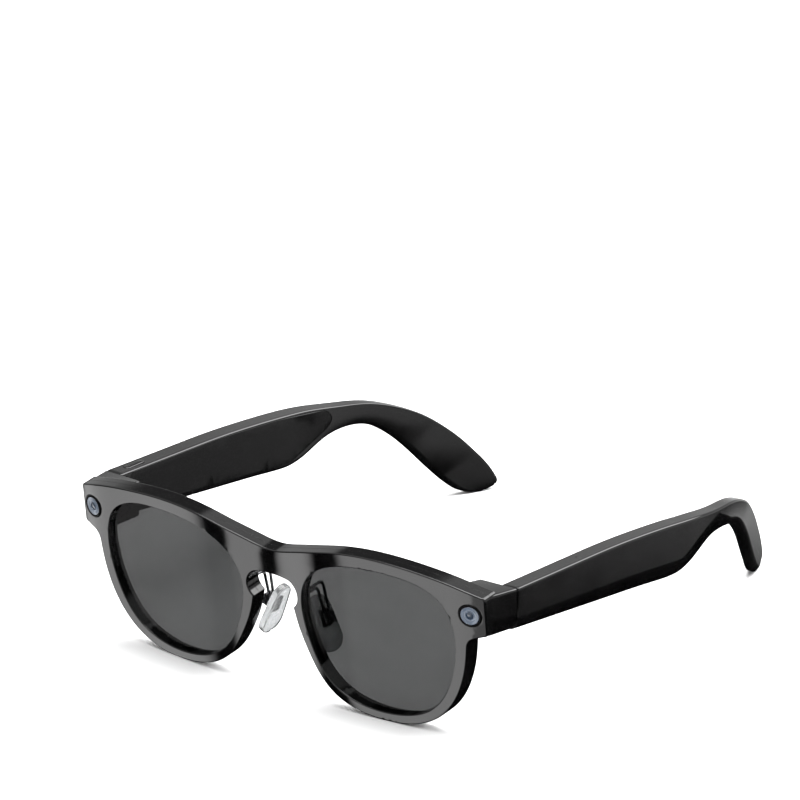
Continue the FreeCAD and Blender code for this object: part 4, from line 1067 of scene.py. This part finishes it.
def make_floor():
    """A plain pale floor that the polished faces don't mirror."""
    paint = Paint("studio_floor")
    sweep = paint.noise(1.2, 2)
    paint.tint(sweep, (0.3, (0.86, 0.86, 0.86)), (0.7, (0.88, 0.88, 0.88)))
    paint.set(Roughness=0.9)
    low, high = -FLOOR_REACH, FLOOR_REACH
    corners = [(low, low, 0), (high, low, 0), (high, high, 0), (low, high, 0)]
    floor = add_object("studio_floor", mesh_from("studio_floor", (corners, [(0, 1, 2, 3)])))
    floor.data.materials.append(paint.material)
    floor.visible_glossy = False


def toward(azimuth, elevation):
    """A direction from a turn off straight ahead of the glasses and a height, in degrees."""
    a, e = math.radians(azimuth), math.radians(elevation)
    return math.sin(a) * math.cos(e), -math.cos(a) * math.cos(e), math.sin(e)


# height of the direction, radiance
WORLD_GREYS = [(-1.0, 0.003), (-0.45, 0.004), (-0.372, 0.02), (-0.352, 0.72), (-0.2, 0.8), (0.05, 0.55),
               (0.35, 0.6), (0.6, 0.9), (0.9, 1.1)]
# azimuth, elevation, full brightness within, none beyond (degrees), radiance
WORLD_BOXES = [(-66, -30, 9.5, 16.5, 2.9), (-23, -32, 9.0, 12.0, 3.2), (-4, -33, 6, 14, 1.3),
               (152, 34, 17, 25, 7.0)]
# azimuth, elevation, full dark within, none beyond (degrees)
WORLD_FLAGS = [(-136, 34, 10.5, 15), (-50, -2, 19, 26)]
FLAG_SHADE = 0.15


def make_world():
    """A pale surround, dark well below the horizon, with a few broad soft boxes for the polished faces."""
    world = bpy.data.worlds.new("studio")
    bpy.context.scene.world = world
    world.use_nodes = True
    world.cycles.sampling_method = "NONE"
    tree = world.node_tree
    place = add_node(tree, "ShaderNodeTexCoord").outputs["Generated"]
    split = add_node(tree, "ShaderNodeSeparateXYZ")
    tree.links.new(place, split.inputs["Vector"])
    ramp = add_node(tree, "ShaderNodeValToRGB")
    tree.links.new(map_range(tree, split.outputs["Z"], -1.0, 1.0, 0.0, 1.0), ramp.inputs["Fac"])
    set_stops(ramp, [((height + 1) / 2, (grey, grey, grey)) for height, grey in WORLD_GREYS])

    def spot(azimuth, elevation, full, none, beyond, within):
        """A value that is one thing within a round patch of directions and another beyond it."""
        facing = add_node(tree, "ShaderNodeVectorMath", operation="DOT_PRODUCT")
        tree.links.new(place, facing.inputs[0])
        facing.inputs[1].default_value = toward(azimuth, elevation)
        edge, core = math.cos(math.radians(none)), math.cos(math.radians(full))
        return map_range(tree, facing.outputs["Value"], edge, core, beyond, within,
                         interpolation_type="SMOOTHSTEP")

    def mixed(operation, first, second):
        node = add_node(tree, "ShaderNodeMath", operation=operation)
        tree.links.new(first, node.inputs[0])
        tree.links.new(second, node.inputs[1])
        return node.outputs["Value"]

    total = ramp.outputs["Color"]
    for azimuth, elevation, full, none, radiance in WORLD_BOXES:
        total = mixed("MAXIMUM", total, spot(azimuth, elevation, full, none, 0.0, radiance))
    for azimuth, elevation, full, none in WORLD_FLAGS:
        total = mixed("MULTIPLY", total, spot(azimuth, elevation, full, none, 1.0, FLAG_SHADE))
    back = tree.nodes["Background"]
    tree.links.new(total, back.inputs["Color"])
    back.inputs["Strength"].default_value = 1.0


def make_lamp(name, place, target, size, watts):
    data = bpy.data.lights.new(name, "AREA")
    data.shape = "RECTANGLE"
    data.size, data.size_y = size
    data.energy = watts
    lamp = add_object(name, data)
    lamp.location = place
    lamp.rotation_euler = (Vector(target) - Vector(place)).to_track_quat("-Z", "Y").to_euler()


VIEW_AZIMUTH, VIEW_ELEVATION, VIEW_ROLL = 37.5804, 20.0962, 0.2964  # degrees
VIEW_AIM = Vector((0, 60.0 + reference_y, 28.0))
VIEW_SHIFT = (-0.487, 42.26, 1874.1)  # right, up and back from the aim, in millimetres
VIEW_LENS = 285.92


def make_camera_view():
    """The product view, from far off with a long lens."""
    turn, roll = math.radians(VIEW_AZIMUTH), math.radians(VIEW_ROLL)
    right = Vector((math.cos(turn), math.sin(turn), 0))
    back = Vector(toward(VIEW_AZIMUTH, VIEW_ELEVATION))
    up = back.cross(right)
    c, s = math.cos(roll), math.sin(roll)
    right, up = right * c + up * s, up * c - right * s
    place = VIEW_AIM + right * VIEW_SHIFT[0] + up * VIEW_SHIFT[1] + back * VIEW_SHIFT[2]
    data = bpy.data.cameras.new("product_view")
    data.sensor_width, data.lens = 36.0, VIEW_LENS
    data.clip_end = 50.0
    camera = add_object("product_view", data)
    camera.matrix_world = Matrix.Translation(place * MM) @ Matrix((right, up, back)).transposed().to_4x4()
    bpy.context.scene.camera = camera


make_floor()
make_world()
make_camera_view()
make_lamp("top_softbox", place=(0.1, 0.1, 1.4), target=(0, 0, 0.03), size=(1.2, 1.2), watts=40.0)
bpy.context.scene.view_settings.view_transform = "Standard"
